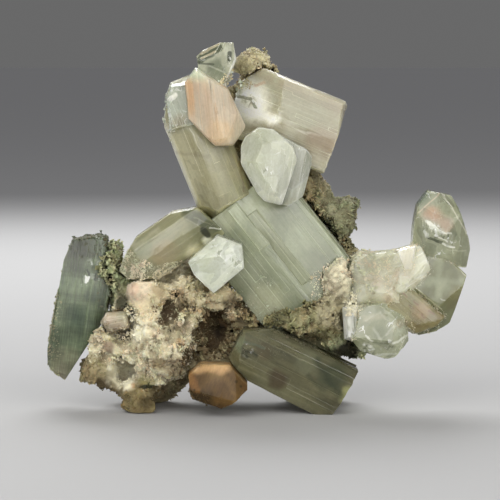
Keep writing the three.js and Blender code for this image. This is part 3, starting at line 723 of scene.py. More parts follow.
# spots are rows for spot_at, cracked for crack_at and strokes for stroke_at, colours in sRGB steps
LOOKS = {
    "central_prism": dict(
        body=(144, 149, 124), veil=(177, 183, 158), stain=(132, 138, 112), seed=1, calm=0.15,
        spots=[(-4, 37, 7, (178, 182, 156), 0.5), (2, 28, 7, (190, 190, 160), 0.6),
            # the spots at z 55 and 49.6 are painted light that lifts the knob's shadow off the prism's upper
            # left
            (15.4, 39, 6, (116, 120, 96), 0.6, 0.9), (-0.4, 55, 8, (196, 200, 174), 0.75, 0.9),
            (-9, 49.6, 4.5, (190, 192, 166), 0.6, 0.9)]),
    "central_ledge": dict(
        body=(148, 154, 128), veil=(183, 187, 163), stain=(137, 143, 117), seed=1.4),
    "central_rib": dict(
        body=(147, 152, 127), veil=(181, 185, 160), stain=(133, 135, 109), seed=1.8),
    "left_column": dict(
        body=(154, 150, 118), veil=(184, 182, 151), stain=(134, 127, 96), clear=0.24,
        absorb=(202, 199, 174), seed=4, level=0.8, depth=0.006, facet=0.08,
        # the first spot is painted light on the column's darker left side; the three spots near x -4 are
        # painted light in the shaded gap between the pink crystal, the knob and the block
        spots=[(-19.5, 66, 5.5, (176, 172, 144), 0.6, 0.6, (1.4, 0.4)), (-18, 79, 8, (172, 177, 151), 0.6),
            (-4.3, 63.6, 6.5, (196, 190, 158), 0.75, 0.9), (-6, 57, 4, (178, 178, 146), 0.6, 0.9),
            (-3.8, 69, 3.2, (226, 220, 192), 0.6)],
        strokes=[(-17.6, 73.2, -14.8, 67.4, 0.3, (206, 204, 180), 0.5, 0.6, 1.2),
            (-22, 67, -13, 66.2, 0.9, (128, 118, 96), 0.35, 0.9, 1.2),
            (-15, 56, -9.6, 50, 0.5, (112, 110, 86), 0.4, 0.8, 1.2),
            (-6, 70, -3.6, 57, 0.5, (140, 124, 98), 0.5, 0.8, 1.2)]),
    "left_column_side": dict(
        body=(176, 182, 164), veil=(204, 208, 196), stain=(150, 158, 136), clear=0.35, seed=5, depth=0.002,
        seam=0.25, facet=0.1, glints=0.6, cell=420,
        spots=[(-20.4, 74.8, 3.6, (166, 158, 132), 0.8, 0.8), (-22, 86.6, 2.6, (128, 132, 110), 0.7, 0.8),
            (-19.6, 85, 2.8, (112, 116, 94), 0.85, 0.8)],
        cracked=[(-22.4, 83.6, 1.6)],
        # the white strokes are painted glints
        strokes=[(-22.4, 80.6, -21.2, 81.8, 0.8, GLINT_WHITE, 0.9, 0.5, 1.2),
            (-23.2, 77.4, -22.9, 76.4, 0.5, GLINT_WHITE, 0.8, 0.5, 1)]),
    "right_block": dict(
        body=(161, 157, 134), veil=(178, 178, 156), stain=(154, 141, 121), clear=0.14, seed=6, level=0.8,
        depth=0.005, streak=1100, run=0.05, facet=0.04, stain_amount=0.6,
        # painted light: the white spot at x -3 lifts the left face out of the pink crystal's shadow, the
        # spots at x 13.9 and -3.8 lift the shaded lower face and the gap under the knob
        spots=[(-3, 80, 8, (250, 250, 238), 0.95, 0.7), (17, 69, 7, (169, 153, 134), 0.5),
            (13.9, 64, 5.5, (206, 202, 182), 0.7, 0.9), (8.7, 72.2, 4.5, (204, 202, 184), 0.5, 0.9),
            (-3.8, 69.6, 3.6, (230, 226, 204), 0.7)],
        cracked=[(-2.4, 80.2, 2.6)],
        # the broad white strokes and the small white ones are painted highlights and glints on the glassy
        # left face
        strokes=[(-5, 79, 4, 75.4, 2.6, (246, 246, 232), 0.9, 0.9),
            (-5.6, 80.2, -1.6, 77.2, 1.5, GLINT_WHITE, 0.85, 0.8),
            (-5.2, 81.4, -2.2, 80.8, 0.6, (104, 106, 82), 0.75, 0.5, 1),
            (-2.2, 80.8, -0.6, 78.6, 0.5, (112, 120, 96), 0.8, 0.5, 1),
            (-0.8, 84.2, 1.6, 84.8, 0.7, (186, 154, 130), 0.55, 0.8, 1),
            (-1.6, 82.2, -0.4, 81.2, 0.34, GLINT_WHITE, 0.8), (0.4, 81.6, 1, 80.2, 0.36, GLINT_WHITE, 0.8),
            (-6.4, 86, -4.6, 82.6, 0.9, (150, 154, 130), 0.6, 0.8, 1)]),
    "front_knob": dict(
        body=(198, 200, 180), veil=(214, 216, 205), stain=(184, 188, 162), clear=0.28, seed=7, depth=0.0025,
        streak=500, run=0.5, seam=0.2, facet=0.1, glints=0.5,
        cracked=[(2.2, 62.6, 1.8)]),
    "behind_knob": dict(
        body=(191, 193, 173), veil=(224, 225, 217), stain=(126, 131, 107), clear=0.4, seed=8, depth=0.002,
        stain_amount=0.7, facet=0.1, seam=0.2),
    "clear_tip": dict(
        body=(184, 186, 162), veil=(214, 216, 194), stain=(140, 144, 118), clear=0.4, glaze=0.06,
        veil_amount=0.5, seed=9, scatter=0.5, depth=0.002, streak=400, run=0.5, facet=0.1, cell=330,
        glints=0.4, stain_amount=0.6, edge=0.8, calm=0.15, edge_tone=(236, 234, 214),
        # the dark spots and strokes are painted refraction, dark windows through the clear tip, with painted
        # reflections as light bars across them; the white strokes are painted glints along its rims
        spots=[(-11, 88.6, 3.4, (118, 126, 102), 0.75), (-9, 86, 2, (138, 146, 120), 0.6)],
        strokes=[(-15.3, 90.8, -10, 94, 1.35, (80, 88, 66), 0.9),
            (-14.6, 92.4, -10.2, 94.8, 0.5, (196, 186, 156), 0.9),
            (-14.6, 91.2, -11, 92.9, 0.36, (204, 194, 164), 0.9),
            (-15.4, 90, -11.6, 89.6, 0.4, (78, 84, 64), 0.7),
            (-8.9, 93.4, -9.1, 89.6, 0.5, (190, 192, 168), 0.8),
            (-7.3, 92.4, -7.4, 90.8, 0.75, (70, 76, 56), 0.9), (-7.2, 91.2, -7.1, 90.9, 0.3, GLINT_WHITE, 0.9),
            (-6, 94.2, -5.9, 90.8, 0.3, GLINT_WHITE, 0.7), (-5.9, 90.8, -8, 86.4, 0.34, GLINT_WHITE, 0.85),
            (-12.6, 89.2, -8.6, 87.6, 0.3, PALE, 0.5)]),
    "pink_crystal": dict(
        body=(188, 172, 150), veil=(193, 188, 168), stain=(193, 160, 127), clear=0.08, glaze=0.3, seed=10,
        level=0.3, depth=0.006, streak=800, run=0.05, stain_amount=0.6, lines_amount=0.09,
        edge_tone=(198, 158, 115),
        spots=[(-17.6, 82, 1.8, (200, 162, 122), 0.7, 0.6, (1, 0.25)),
            (-9.5, 72.5, 4.5, (201, 176, 140), 0.6), (-6, 82, 2, (180, 164, 140), 0.6, 0.6, (1, 0.4)),
            (-15.5, 88.5, 4.6, (177, 194, 170), 0.75), (-12, 87, 5.2, (184, 178, 156), 0.75, 0.9)]),
    "bright_crystal": dict(
        body=(223, 227, 209), veil=(230, 234, 222), stain=(186, 192, 160), clear=0.4, glaze=0.05, seed=11,
        veil_amount=0.9, cloud=240, stain_amount=0.7, calm=0.15, depth=0.0018, streak=300, run=0.6,
        scatter=0.4, facet=0.14, cell=380, seam=0.25, edge=0.4, glints=1,
        cracked=[(-7.2, 39.6, 3.2), (-10.5, 42.6, 2.2)]),
    "cream_crystal": dict(
        body=(143, 142, 110), veil=(156, 155, 123), stain=(137, 129, 97), clear=0.2, seed=12, level=0.6,
        depth=0.006, streak=600, run=0.2, facet=0.06, calm=0.35, edge=0.35,
        spots=[(-24, 41, 5, (167, 151, 118), 0.6), (-14.5, 47.5, 5, (107, 109, 78), 0.6),
            (-29.5, 43, 4, (127, 132, 99), 0.5), (-20, 41.5, 7, (161, 158, 128), 0.5, 0.9),
            # these two pale spots are painted light on the shaded lower right of the crystal
            (-16.2, 41, 3.2, (222, 216, 188), 0.8, 0.8), (-13, 44.2, 2, (240, 238, 218), 0.85)],
        strokes=[(-18, 51.6, -10.8, 47.8, 2.3, (78, 84, 61), 0.8, 0.6, 0.6),
            (-16.6, 50.4, -12.2, 48.6, 0.34, (161, 159, 133), 0.5, 0.8, 2.4),
            (-18.6, 50.2, -15, 48, 0.3, (175, 174, 150), 0.45, 0.8, 2.4),
            # the white stroke is a painted glint
            (-12.6, 47.6, -9.6, 47.4, 0.3, GLINT_WHITE, 0.7, 0.7, 1.4),
            (-31.6, 43, -26, 47, 1.2, (178, 176, 152), 0.6, 0.9, 1),
            (-14.2, 47.3, -12.9, 46, 1, (43, 46, 31), 0.9, 0.5, 0.6)]),
    "dark_crystal": dict(
        body=(83, 95, 72), veil=(120, 132, 102), stain=(53, 63, 46), clear=0.12, seed=13, cloud=120,
        depth=0.002, lines_amount=0.22, streak=1500, run=0.03, line_bump=0.5, stain_amount=0.9, cross=0.3,
        veil_amount=0.9,
        spots=[(-48, 40, 6.5, (77, 85, 63), 0.85), (-43, 30, 3, (70, 81, 65), 0.6),
            (-51, 24, 3.4, (129, 141, 114), 0.4), (-50, 11, 7, (123, 122, 98), 0.7),
            (-54, 34, 5, (51, 68, 53), 0.6), (-46, 42, 4, (88, 93, 62), 0.6),
            (-48, 42, 6, (60, 66, 46), 0.8, 0.9), (-46, 43, 5, (46, 54, 38), 0.7, 0.9),
            (-51.6, 8, 4.6, (158, 148, 128), 0.6, 0.9), (-46.6, 24, 5, (84, 100, 84), 0.6, 0.9)],
        cracked=[(-43.5, 35, 3, (1, 0.6)), (-52, 38, 2.4)]),
    "lower_crystal": dict(
        body=(101, 98, 71), veil=(130, 128, 98), stain=(67, 66, 45), clear=0.26, absorb=(153, 151, 111),
        absorb_density=40, seed=14, lines_amount=0.03, depth=0.003, stain_amount=0.8, cross=0.05,
        facet=0.06, cloud=60, veil_amount=1, edge=0.15,
        spots=[(5, 9, 3.6, (75, 60, 39), 0.75), (1.5, 16.5, 3.2, (94, 84, 61), 0.6),
            (12.5, 13.5, 4.4, (123, 125, 98), 0.6), (19, 10, 5, (63, 71, 49), 0.7),
            (-4.5, 19, 2.6, (127, 134, 106), 0.7, 0.6, (1, 1.6)), (-3.5, 15.5, 1.6, (54, 59, 42), 0.7),
            # the pale spot at the right end is painted light, its lit end
            (22.5, 5.5, 3.2, (170, 171, 119), 0.7, 0.6, (1, 1.6))],
        cracked=[(-3.2, 16.4, 2.2)],
        strokes=[(-6.8, 20.6, -4.6, 16.8, 1.1, (135, 143, 115), 0.8, 0.6, 0.6),
            (-4, 17.4, -0.6, 15.2, 0.8, (43, 47, 33), 0.7, 0.8, 1.2),
            (-3.4, 18.8, 1.2, 17.6, 0.7, (110, 120, 100), 0.6, 0.8, 1.2),
            (15, 14, 21, 5, 1.6, (55, 64, 44), 0.6, 1, 1.2),
            (13, 10, 16.6, 6.6, 1.2, (57, 62, 42), 0.5, 1, 1.4)]),
    "peach_crystal": dict(
        body=(92, 70, 36), veil=(108, 86, 48), stain=(79, 54, 24), clear=0, glaze=0.4, seed=15, depth=0.006,
        streak=900, stain_amount=0.6, shine=0.2, calm=0.35, lines_amount=0.1, edge_tone=(115, 93, 54),
        edge=0.4,
        # the dark spots low on the left and at the bottom are painted shade; the pale spot at z 12.4 and the
        # first stroke along the top are painted light on its upper face
        spots=[(-15, 3.6, 5.4, (44, 31, 12), 0.85), (-9, 1.6, 3.4, (56, 38, 16), 0.7),
            (-10.5, 12.4, 4.6, (127, 102, 58), 0.8, 0.8), (-5.6, 9.4, 0.6, (47, 35, 16), 0.7),
            (-4.4, 8.2, 0.5, (47, 35, 16), 0.7), (-16.4, 6.4, 2.8, (47, 33, 13), 0.8)],
        strokes=[(-16.6, 12.4, -8.4, 12.8, 2, (190, 156, 112), 0.8, 0.9),
            (-17.4, 10.6, -15.6, 7.4, 1.6, (144, 103, 54), 0.6, 0.9),
            (-8, 10, -6.2, 6.6, 1.2, (119, 95, 56), 0.5, 0.9)]),
    "round_crystal": dict(
        body=(152, 155, 125), veil=(179, 183, 160), stain=(123, 127, 93), clear=0.35, glaze=0.07, seed=16,
        edge_tone=(214, 214, 191), edge=0.9, depth=0.0018, streak=300, run=0.5, scatter=0.4, facet=0.14,
        seam=0.15, cell=260, glints=1,
        spots=[(30.8, 20.6, 3, (126, 132, 104), 0.6), (35.6, 22.2, 2.4, (188, 192, 170), 0.6),
            (36.2, 23.4, 1.8, (150, 136, 106), 0.5)],
        cracked=[(28, 16.6, 2.8), (33.6, 18, 2)],
        # the white strokes are painted glints, and the pale stroke at z 15 is a painted highlight along the
        # lower rim
        strokes=[(27, 17.8, 29.6, 16.8, 0.7, GLINT_WHITE, 0.7, 0.8, 2),
            (34.6, 18.4, 38.2, 19.8, 0.6, GLINT_WHITE, 0.6, 0.8, 2.4),
            (27.4, 24.2, 31.3, 26.3, 0.4, (206, 208, 190), 0.4, 0.9, 2),
            (31.3, 26.3, 36.3, 21.2, 0.4, (206, 208, 190), 0.35, 0.9, 2),
            (30.2, 15, 35.4, 15.4, 0.45, (210, 212, 194), 0.6, 0.5, 1),
            (27.6, 20.4, 29.4, 19, 0.4, GLINT_WHITE, 0.6, 0.6, 2),
            (33, 20.8, 36.4, 23.6, 0.5, (214, 216, 200), 0.5, 0.8, 2),
            (29.6, 18.6, 33.2, 18.2, 0.5, (112, 118, 94), 0.5, 0.8, 2),
            (27.4, 24.6, 32.4, 25.6, 1.3, (196, 192, 166), 0.5, 0.9, 1.4),
            (29.2, 22.2, 31.6, 19.6, 0.7, (206, 210, 194), 0.45, 0.9, 2)]),
    "small_column": dict(
        body=(228, 229, 219), veil=(236, 237, 235), stain=(193, 196, 168), clear=0.4, glaze=0.06, seed=17,
        edge_tone=(226, 226, 206), edge=0.9, depth=0.0018, facet=0.14, scatter=0.4, seam=0.2,
        cracked=[(23.6, 20.6, 2)],
        # the white strokes are painted glints
        strokes=[(23.2, 25.4, 23.6, 20.6, 0.7, GLINT_WHITE, 0.85, 0.5, 0.6),
            (24.6, 25, 24.8, 20, 0.3, (120, 124, 98), 0.7, 0.5, 1),
            (22.4, 19.6, 25, 19.2, 0.4, GLINT_WHITE, 0.8, 0.5, 1)]),
    "cream_body": dict(
        body=(195, 195, 170), veil=(205, 205, 191), stain=(189, 181, 146), clear=0.1, seed=18, depth=0.005,
        streak=420, run=0.4, facet=0.06, seam=0.15,
        spots=[(30.4, 34, 2.6, (196, 171, 142), 0.45, 0.9), (36.2, 36, 2.4, (196, 171, 142), 0.45, 0.9),
            (33.6, 29.6, 2.6, (196, 171, 142), 0.45, 0.9)]),
    "cream_shoulder": dict(
        body=(205, 206, 181), veil=(217, 218, 208), stain=(193, 186, 153), clear=0.12, seed=18.6,
        streak=420, run=0.3, facet=0.06, seam=0.2,
        spots=[(38, 36.4, 3.2, (186, 178, 148), 0.7, 0.9), (40.6, 33, 2.6, (176, 170, 138), 0.7, 0.9)]),
    "tan_body": dict(
        body=(127, 122, 82), veil=(142, 140, 98), stain=(110, 90, 52), clear=0.12, seed=18.9, streak=700,
        run=0.3, facet=0.08, seam=0.3, stain_amount=0.6,
        spots=[(42, 26.5, 3.4, (163, 135, 94), 0.6)],
        strokes=[(37, 30.8, 38, 30, 0.45, (116, 80, 52), 0.65, 0.6, 1.6),
            (40.2, 29, 41, 28.2, 0.45, (116, 80, 52), 0.65, 0.6, 1.6),
            (44, 26.4, 45.2, 25.6, 0.45, (116, 80, 52), 0.65, 0.6, 1.6),
            (42, 25.6, 42.8, 24.6, 0.45, (116, 80, 52), 0.65, 0.6, 1.6),
            (39, 28, 39.6, 27.2, 0.45, (116, 80, 52), 0.65, 0.6, 1.6)]),
    "right_body": dict(
        body=(112, 114, 79), veil=(134, 138, 101), stain=(96, 96, 63), clear=0.3, glaze=0.09, seed=19,
        edge_tone=(172, 174, 137), edge=0.9, depth=0.002, streak=300, run=0.5, scatter=0.5, facet=0.1,
        seam=0.15, cell=200,
        spots=[(46.9, 32, 6.5, (157, 160, 129), 0.75, 0.9, (4, 1)),
            (46.9, 33, 6.5, (151, 156, 124), 0.6, 0.9, (1, 4)), (42.6, 37.4, 2.8, (99, 98, 66), 0.7),
            (50.6, 28.6, 3.4, (106, 101, 64), 0.7), (43, 27, 2.4, (112, 109, 74), 0.6),
            (41.6, 35.6, 2.6, (126, 122, 85), 0.6), (51.6, 31, 2.6, (125, 120, 80), 0.6)],
        strokes=[(46.6, 40.6, 46.6, 30.6, 1.8, (163, 168, 135), 0.5, 1, 0.6),
            (40.4, 33.4, 52.9, 33.9, 1.8, (159, 164, 133), 0.5, 1, 0.6),
            (47.7, 41.7, 53.7, 35, 0.28, (190, 191, 162), 0.75, 0.6, 1.2),
            (39.4, 33.2, 47.2, 26.6, 0.3, (193, 191, 158), 0.8, 0.6, 1.2),
            # the white stroke is a painted glint
            (47, 29.6, 48.2, 29.2, 0.36, GLINT_WHITE, 0.45, 0.8, 2.4)]),
    "hook_crystal": dict(
        body=(153, 155, 125), veil=(183, 187, 163), stain=(121, 127, 103), clear=0.35, glaze=0.07, seed=20,
        edge_tone=(213, 213, 191), edge=0.9, depth=0.0018, streak=300, run=0.5, scatter=0.5, facet=0.16,
        seam=0.15, cell=300, glints=1,
        spots=[(45, 51, 3.4, (194, 155, 125), 0.75, 0.8), (48, 48.6, 3.2, (188, 158, 131), 0.7, 0.8),
            (42, 55.4, 3, (113, 126, 107), 0.6)],
        cracked=[(44.6, 46.8, 3, (0.8, 1.2)), (48.6, 44.6, 2.6)],
        # the first two strokes are painted highlights along the edges below the tip; the white strokes are
        # painted glints along the cracks
        strokes=[(47, 56.8, 41.2, 51.4, 0.3, (216, 200, 178), 0.6, 0.8, 1.2),
            (47.2, 56.8, 54.2, 45.6, 0.32, (218, 216, 198), 0.65, 0.8, 1.2),
            (43.2, 49.2, 46.8, 46.6, 0.5, GLINT_WHITE, 0.9, 0.5, 1.4),
            (46.8, 46.6, 49.4, 46.4, 0.45, GLINT_WHITE, 0.85, 0.5, 1.6),
            (43.6, 45.4, 47.2, 43.8, 0.6, (74, 80, 62), 0.85, 0.5, 1.4),
            (45.2, 45.9, 48.6, 44.2, 0.3, GLINT_WHITE, 0.8, 0.5, 1.6),
            (47.6, 43.6, 50.4, 42.6, 0.4, GLINT_WHITE, 0.85, 0.5, 1.4),
            (49.6, 47.4, 51.4, 44.6, 0.7, (128, 134, 110), 0.6, 0.6, 1.2),
            (48.6, 42, 53.6, 41.4, 0.3, PALE, 0.45, 0.9, 2),
            (51, 55, 53.4, 48.6, 0.9, (104, 116, 96), 0.6, 0.7),
            (41.4, 53.6, 43.6, 56.2, 0.8, (106, 122, 104), 0.5, 0.8)]),
    "cream_sliver": dict(
        body=(216, 213, 191), veil=(222, 222, 215), stain=(208, 197, 160), seed=21),
    "lilac_sliver": dict(
        body=(182, 170, 146), veil=(200, 190, 168), stain=(160, 146, 124), clear=0.2, seed=22,
        spots=[(-34.6, 25.4, 2.6, (160, 162, 136), 0.6), (-39.2, 24.4, 2, (204, 186, 164), 0.7)],
        strokes=[(-40, 21.4, -33.6, 21.4, 1.6, (140, 120, 102), 0.7, 0.8, 1)]),
}

def stone_of(name):
    look = dict(LOOKS[name])
    for key in {"body", "veil", "stain", "absorb", "edge_tone"} & look.keys():
        look[key] = linear(*look[key])
    for key, make in (("spots", spot_at), ("cracked", crack_at), ("strokes", stroke_at)):
        look[key] = [make(name, *row) for row in look.get(key, [])]
    return crystal_material(name + "_stone", frame_of(name), **look)


def grown_together(crystals, first_seed):
    """One mesh of the crystals that have grown through each other, each keeping its own stone."""
    stones = [stone_of(crystal[0]) for crystal in crystals]
    parts = []
    for index, (name, strip, ledge, depth) in enumerate(crystals):
        mesh = crystal_mesh(name, first_seed + index, strip, ledge, depth)
        for stone in stones:
            mesh.materials.append(stone)
        mesh.polygons.foreach_set("material_index", np.full(len(mesh.polygons), index))
        parts.append(new_object(name, mesh))
    for other in parts[1:]:
        union = parts[0].modifiers.new(other.name, "BOOLEAN")
        union.operation = "UNION"
        union.solver = "MANIFOLD"
        union.object = other
    whole = evaluated_mesh(parts[0])
    for part in parts:
        bpy.data.objects.remove(part)
    return whole


seed = 40
for node, slot, crystals in PIECES:
    finish_piece(node + "_crystals", grown_together(crystals, seed), node)
    seed += len(crystals)


# ---------------------------------------------------------------- the matrix

# centre and half sizes in millimetres, and the kind of crust that grows there
LUMPS = [
    ([-23.8, -7, 17.3], [10, 11, 11.5], "cream"), ([-31, -6, 4.4], [6, 8, 5.6], "moss"),
    ([-41.2, 0, 10.3], [6, 8, 6], "olive"), ([-39.2, -3, 17.6], [6.5, 7, 6], "cream"),
    ([-16, -3, 28.7], [13, 10, 8], "brown"), ([-31, -6, 31.6], [4, 5, 3.8], "pink"),
    ([-33.2, -3, 24], [5.5, 7, 7], "cream"), ([-17, 11, 23], [17, 13, 16], "rock"),
    ([7, 10, 25], [17, 13, 14], "rock"), ([16.5, -2, 24.8], [9, 9, 7.4], "tan"),
    ([7.4, -3, 22.6], [7, 8, 4.8], "tan"), ([21, -2, 34], [6, 8, 7], "root"),
    ([28, 3, 32], [12, 9, 9], "root"), ([23, 2, 17], [8, 8, 5.2], "dark"),
    ([18, 14, 38], [8, 9, 11], "olive"), ([-1.3, 8, 89.7], [5.7, 6, 4.8], "crown"),
    ([0.2, 13, 79.5], [8, 5.5, 12.6], "rock"), ([-1.5, 14, 65], [10, 7, 16], "rock"),
    ([6, 15, 50], [15, 8.5, 17], "rock"), ([-39, 4, 36], [5.6, 8, 8.4], "dark"),
    ([-33, 8, 30], [8, 8, 9], "dark"), ([-29, 13, 7], [10, 8.5, 8.4], "rock"),
    ([15, 15, 7], [10, 8.5, 8.4], "rock"), ([-12, 13, 16], [18, 12, 11], "rock"),
    ([9, 12, 15], [14, 11, 11], "dark"), ([21.2, 14, 49.2], [8, 7, 9], "shoulder"),
]
# centre and half sizes of the hollows in its front, in millimetres
HOLLOWS = [([-10.6, -9, 19.8], [3.7, 16, 4.4]), ([-15.6, -10, 13.6], [2.0, 10, 3.4]),
           ([-22.4, -14, 26.8], [2.7, 5, 2.5])]
# places, in the front view, where the rock is thin and sinks little: x, z and radius
THIN = [(-29.0, 32.0, 5.0), (-38.6, 27.0, 4.5), (-36.6, 8.4, 4.5), (-9.0, 31.0, 3.0)]
# dark brown of the pits, toward which the painted shade in creases and hollows runs
PIT = linear(84, 66, 42)
VOXEL = 0.0006
MELT_ROUNDS = 24
# tones of the grains in sRGB steps, grain size, share of the places where one grows, how deep the creases
# between knobs are, large and small, and how far the grains' shading follows the rock; sizes in millimetres
CRUSTS = {
    "cream": dict(tones=[(236, 221, 175), (243, 236, 200), (245, 239, 209), (228, 205, 164)],
         size=0.42, creases=(2.4, 0.6)),
    "root": dict(tones=[(232, 224, 188), (238, 232, 202), (240, 234, 208), (226, 212, 176)],
         size=0.32, creases=(0.35, 0.3)),
    "moss": dict(tones=[(137, 122, 80), (155, 142, 100), (126, 114, 72), (157, 138, 98)],
         size=0.42, creases=(1.2, 0.5)),
    "olive": dict(tones=[(158, 146, 106), (178, 166, 124), (138, 130, 92), (172, 152, 116)],
         size=0.45, creases=(1.3, 0.5)),
    "brown": dict(tones=[(216, 200, 157), (232, 224, 187), (195, 175, 133), (226, 211, 172)],
         size=0.45, creases=(2.9, 0.8)),
    "pink": dict(tones=[(238, 222, 192), (244, 232, 208), (234, 214, 184)],
         size=0.36, creases=(0.5, 0.4)),
    "tan": dict(tones=[(147, 143, 105), (169, 166, 126), (127, 120, 81), (156, 148, 109)],
         size=0.45, creases=(1.9, 0.6)),
    "dark": dict(tones=[(180, 185, 140), (201, 207, 165), (151, 156, 116), (191, 194, 151)],
         size=0.52, share=0.75, creases=(0.7, 0.6)),
    "rock": dict(tones=[(168, 155, 117), (201, 188, 148), (138, 125, 90), (185, 170, 132)],
         size=0.72, share=0.42, creases=(0.8, 0.5), calm=0.5),
    "crown": dict(tones=[(206, 194, 152), (222, 212, 176), (190, 182, 136)],
         size=0.32, creases=(0.55, 0.4)),
    "shoulder": dict(tones=[(146, 148, 114), (166, 168, 134), (126, 128, 98), (160, 154, 118)],
         size=0.5, creases=(0.8, 0.6)),
}
KINDS = list(CRUSTS)


def lump_distances(points):
    """How deep each point (metres) lies in each lump: 1 on its skin, less inside."""
    local = points / MM - SHIFT
    return np.array([np.linalg.norm((local - np.array(at)) / np.array(size), axis=1)
                     for at, size, _ in LUMPS]).T


def crust_weights(points, blend=0.12):
    far = lump_distances(points)
    near = np.exp(-(far - far.min(axis=1, keepdims=True)) / blend)
    weights = np.zeros((len(points), len(KINDS)))
    for column, (_, _, kind) in enumerate(LUMPS):
        weights[:, KINDS.index(kind)] += near[:, column]
    return weights / weights.sum(axis=1, keepdims=True)


def hollow_depth(points):
    """1 well inside a hollow of the matrix, 0 outside."""
    local = points / MM - SHIFT
    uneven = np.array([noise.fractal(Vector(p) * 0.4, 0.8, 2.1, 3) for p in local])
    deepest = np.zeros(len(points))
    for at, size in HOLLOWS:
        far = np.linalg.norm((local - np.array(at)) / np.array(size), axis=1) + 0.45 * uneven
        deepest = np.maximum(deepest, np.clip(1.6 - far, 0, 0.6) / 0.6)
    return deepest


def mesh_arrays(mesh):
    mesh.calc_loop_triangles()
    return rows_of(mesh.vertices, "co"), rows_of(mesh.loop_triangles, "vertices", kind=int)


def sample_surface(co, tri, count, rng):
    a, b, c = co[tri[:, 0]], co[tri[:, 1]], co[tri[:, 2]]
    cross = np.cross(b - a, c - a)
    area = np.linalg.norm(cross, axis=1)
    pick = rng.choice(len(tri), count, p=area / area.sum())
    u, v = rng.random(count), rng.random(count)
    flip = u + v > 1
    u[flip], v[flip] = 1 - u[flip], 1 - v[flip]
    points = a[pick] + (b - a)[pick] * u[:, None] + (c - a)[pick] * v[:, None]
    return points, cross[pick] / area[pick][:, None], pick


def remeshed(source):
    """The solid in even small faces, its sharp corners melted by some rounds of smoothing."""
    temporary = new_object("remesh_source", source.copy())
    modifier = temporary.modifiers.new("voxels", "REMESH")
    modifier.mode = "VOXEL"
    modifier.voxel_size = VOXEL
    melt = temporary.modifiers.new("melt", "SMOOTH")
    melt.factor = 0.5
    melt.iterations = MELT_ROUNDS
    mesh = evaluated_mesh(temporary)
    bpy.data.objects.remove(temporary)
    return mesh


def creases(points, spacing, seed):
    """How near each point (millimetres) lies to a crease between two knobs: 0 on a crown, 1 in the crease."""
    cell = np.floor(points / spacing)
    first, second = np.full(len(points), 1e9), np.full(len(points), 1e9)
    keys = np.array([[127.1, 269.5, 113.5], [311.7, 183.3, 271.9], [74.7, 246.1, 124.6]])
    for step in itertools.product((-1, 0, 1), repeat=3):
        own = cell + step
        jitter = np.modf(np.abs(np.sin(own @ keys + seed)) * 4375.85)[0] - 0.5
        far = np.linalg.norm(points - (own + 0.5 + 0.9 * jitter) * spacing, axis=1)
        second = np.minimum(second, np.maximum(first, far))
        first = np.minimum(first, far)
    return first / second


def matrix_base():
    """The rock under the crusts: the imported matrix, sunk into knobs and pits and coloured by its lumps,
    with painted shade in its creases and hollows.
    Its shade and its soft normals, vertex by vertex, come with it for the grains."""
    mesh = remeshed(NODES["matrix_rock"].data)
    mesh.name = "matrix_base"
    co = rows_of(mesh.vertices, "co")
    normals = rows_of(mesh.vertices, "normal")
    weights = crust_weights(co)
    local = co / MM
    warp = np.array([noise.noise_vector(Vector(p) * 0.3) for p in local])
    large = creases(local + 1.6 * warp, 4.6, 1.0) ** 2.2
    small = creases(local + 0.8 * warp, 1.9, 5.0) ** 2.2
    deep = weights @ np.array([CRUSTS[kind]["creases"] for kind in KINDS])
    rough = np.array([noise.fractal(Vector(p) * 0.55, 0.9, 2.1, 4) for p in local])
    sink = 0.25 + deep[:, 0] * large + deep[:, 1] * small + deep[:, 1] * (0.5 + rough)
    hollow = hollow_depth(co)
    front = local - SHIFT
    for x, z, radius in THIN:
        far = np.hypot(front[:, 0] - x, front[:, 2] - z) / radius
        sink = np.minimum(sink, 0.5 + 3 * np.clip(far - 0.6, 0, 1))
        large = large * np.clip(far - 0.5, 0.1, 1)
    foot = np.clip(co[:, 2] / 0.002, 0.1, 1)
    sink = (np.clip(sink, 0.3, 3.4) + hollow * (1.6 + 1.6 * rough + small)) * foot
    co -= normals * (sink * MM)[:, None]
    mesh.vertices.foreach_set("co", co.ravel())
    # painted shade: darker in the creases and the hollows; it takes the rock's colour toward the pits' brown
    shade = (1 - 0.55 * large) * (1 - 0.25 * small) * (1 - 0.95 * hollow) * np.clip(1 - 0.5 * rough, 0.6, 1.2)
    tones = [np.mean([linear(*tone) for tone in CRUSTS[kind]["tones"]], axis=0) for kind in KINDS]
    tones = weights @ np.array(tones)
    lit = np.clip(1.25 * shade, 0, 1)[:, None]
    colour = 0.92 * tones * lit + np.array(PIT) * (1 - lit)
    tint = mesh.color_attributes.new("shaded_crust_tone", "FLOAT_COLOR", "POINT")
    tint.data.foreach_set("color", np.column_stack((colour, np.ones(len(co)))).ravel())
    mesh.update()
    soft = rows_of(mesh.vertices, "normal")
    ends = rows_of(mesh.edges, "vertices", 2, int)
    for _ in range(6):
        spread = soft.copy()
        np.add.at(spread, ends[:, 0], soft[ends[:, 1]])
        np.add.at(spread, ends[:, 1], soft[ends[:, 0]])
        soft = spread / np.linalg.norm(spread, axis=1, keepdims=True)
    mesh.attributes.new("ground", "FLOAT_VECTOR", "POINT").data.foreach_set("vector", soft.ravel())
    return mesh, shade, soft


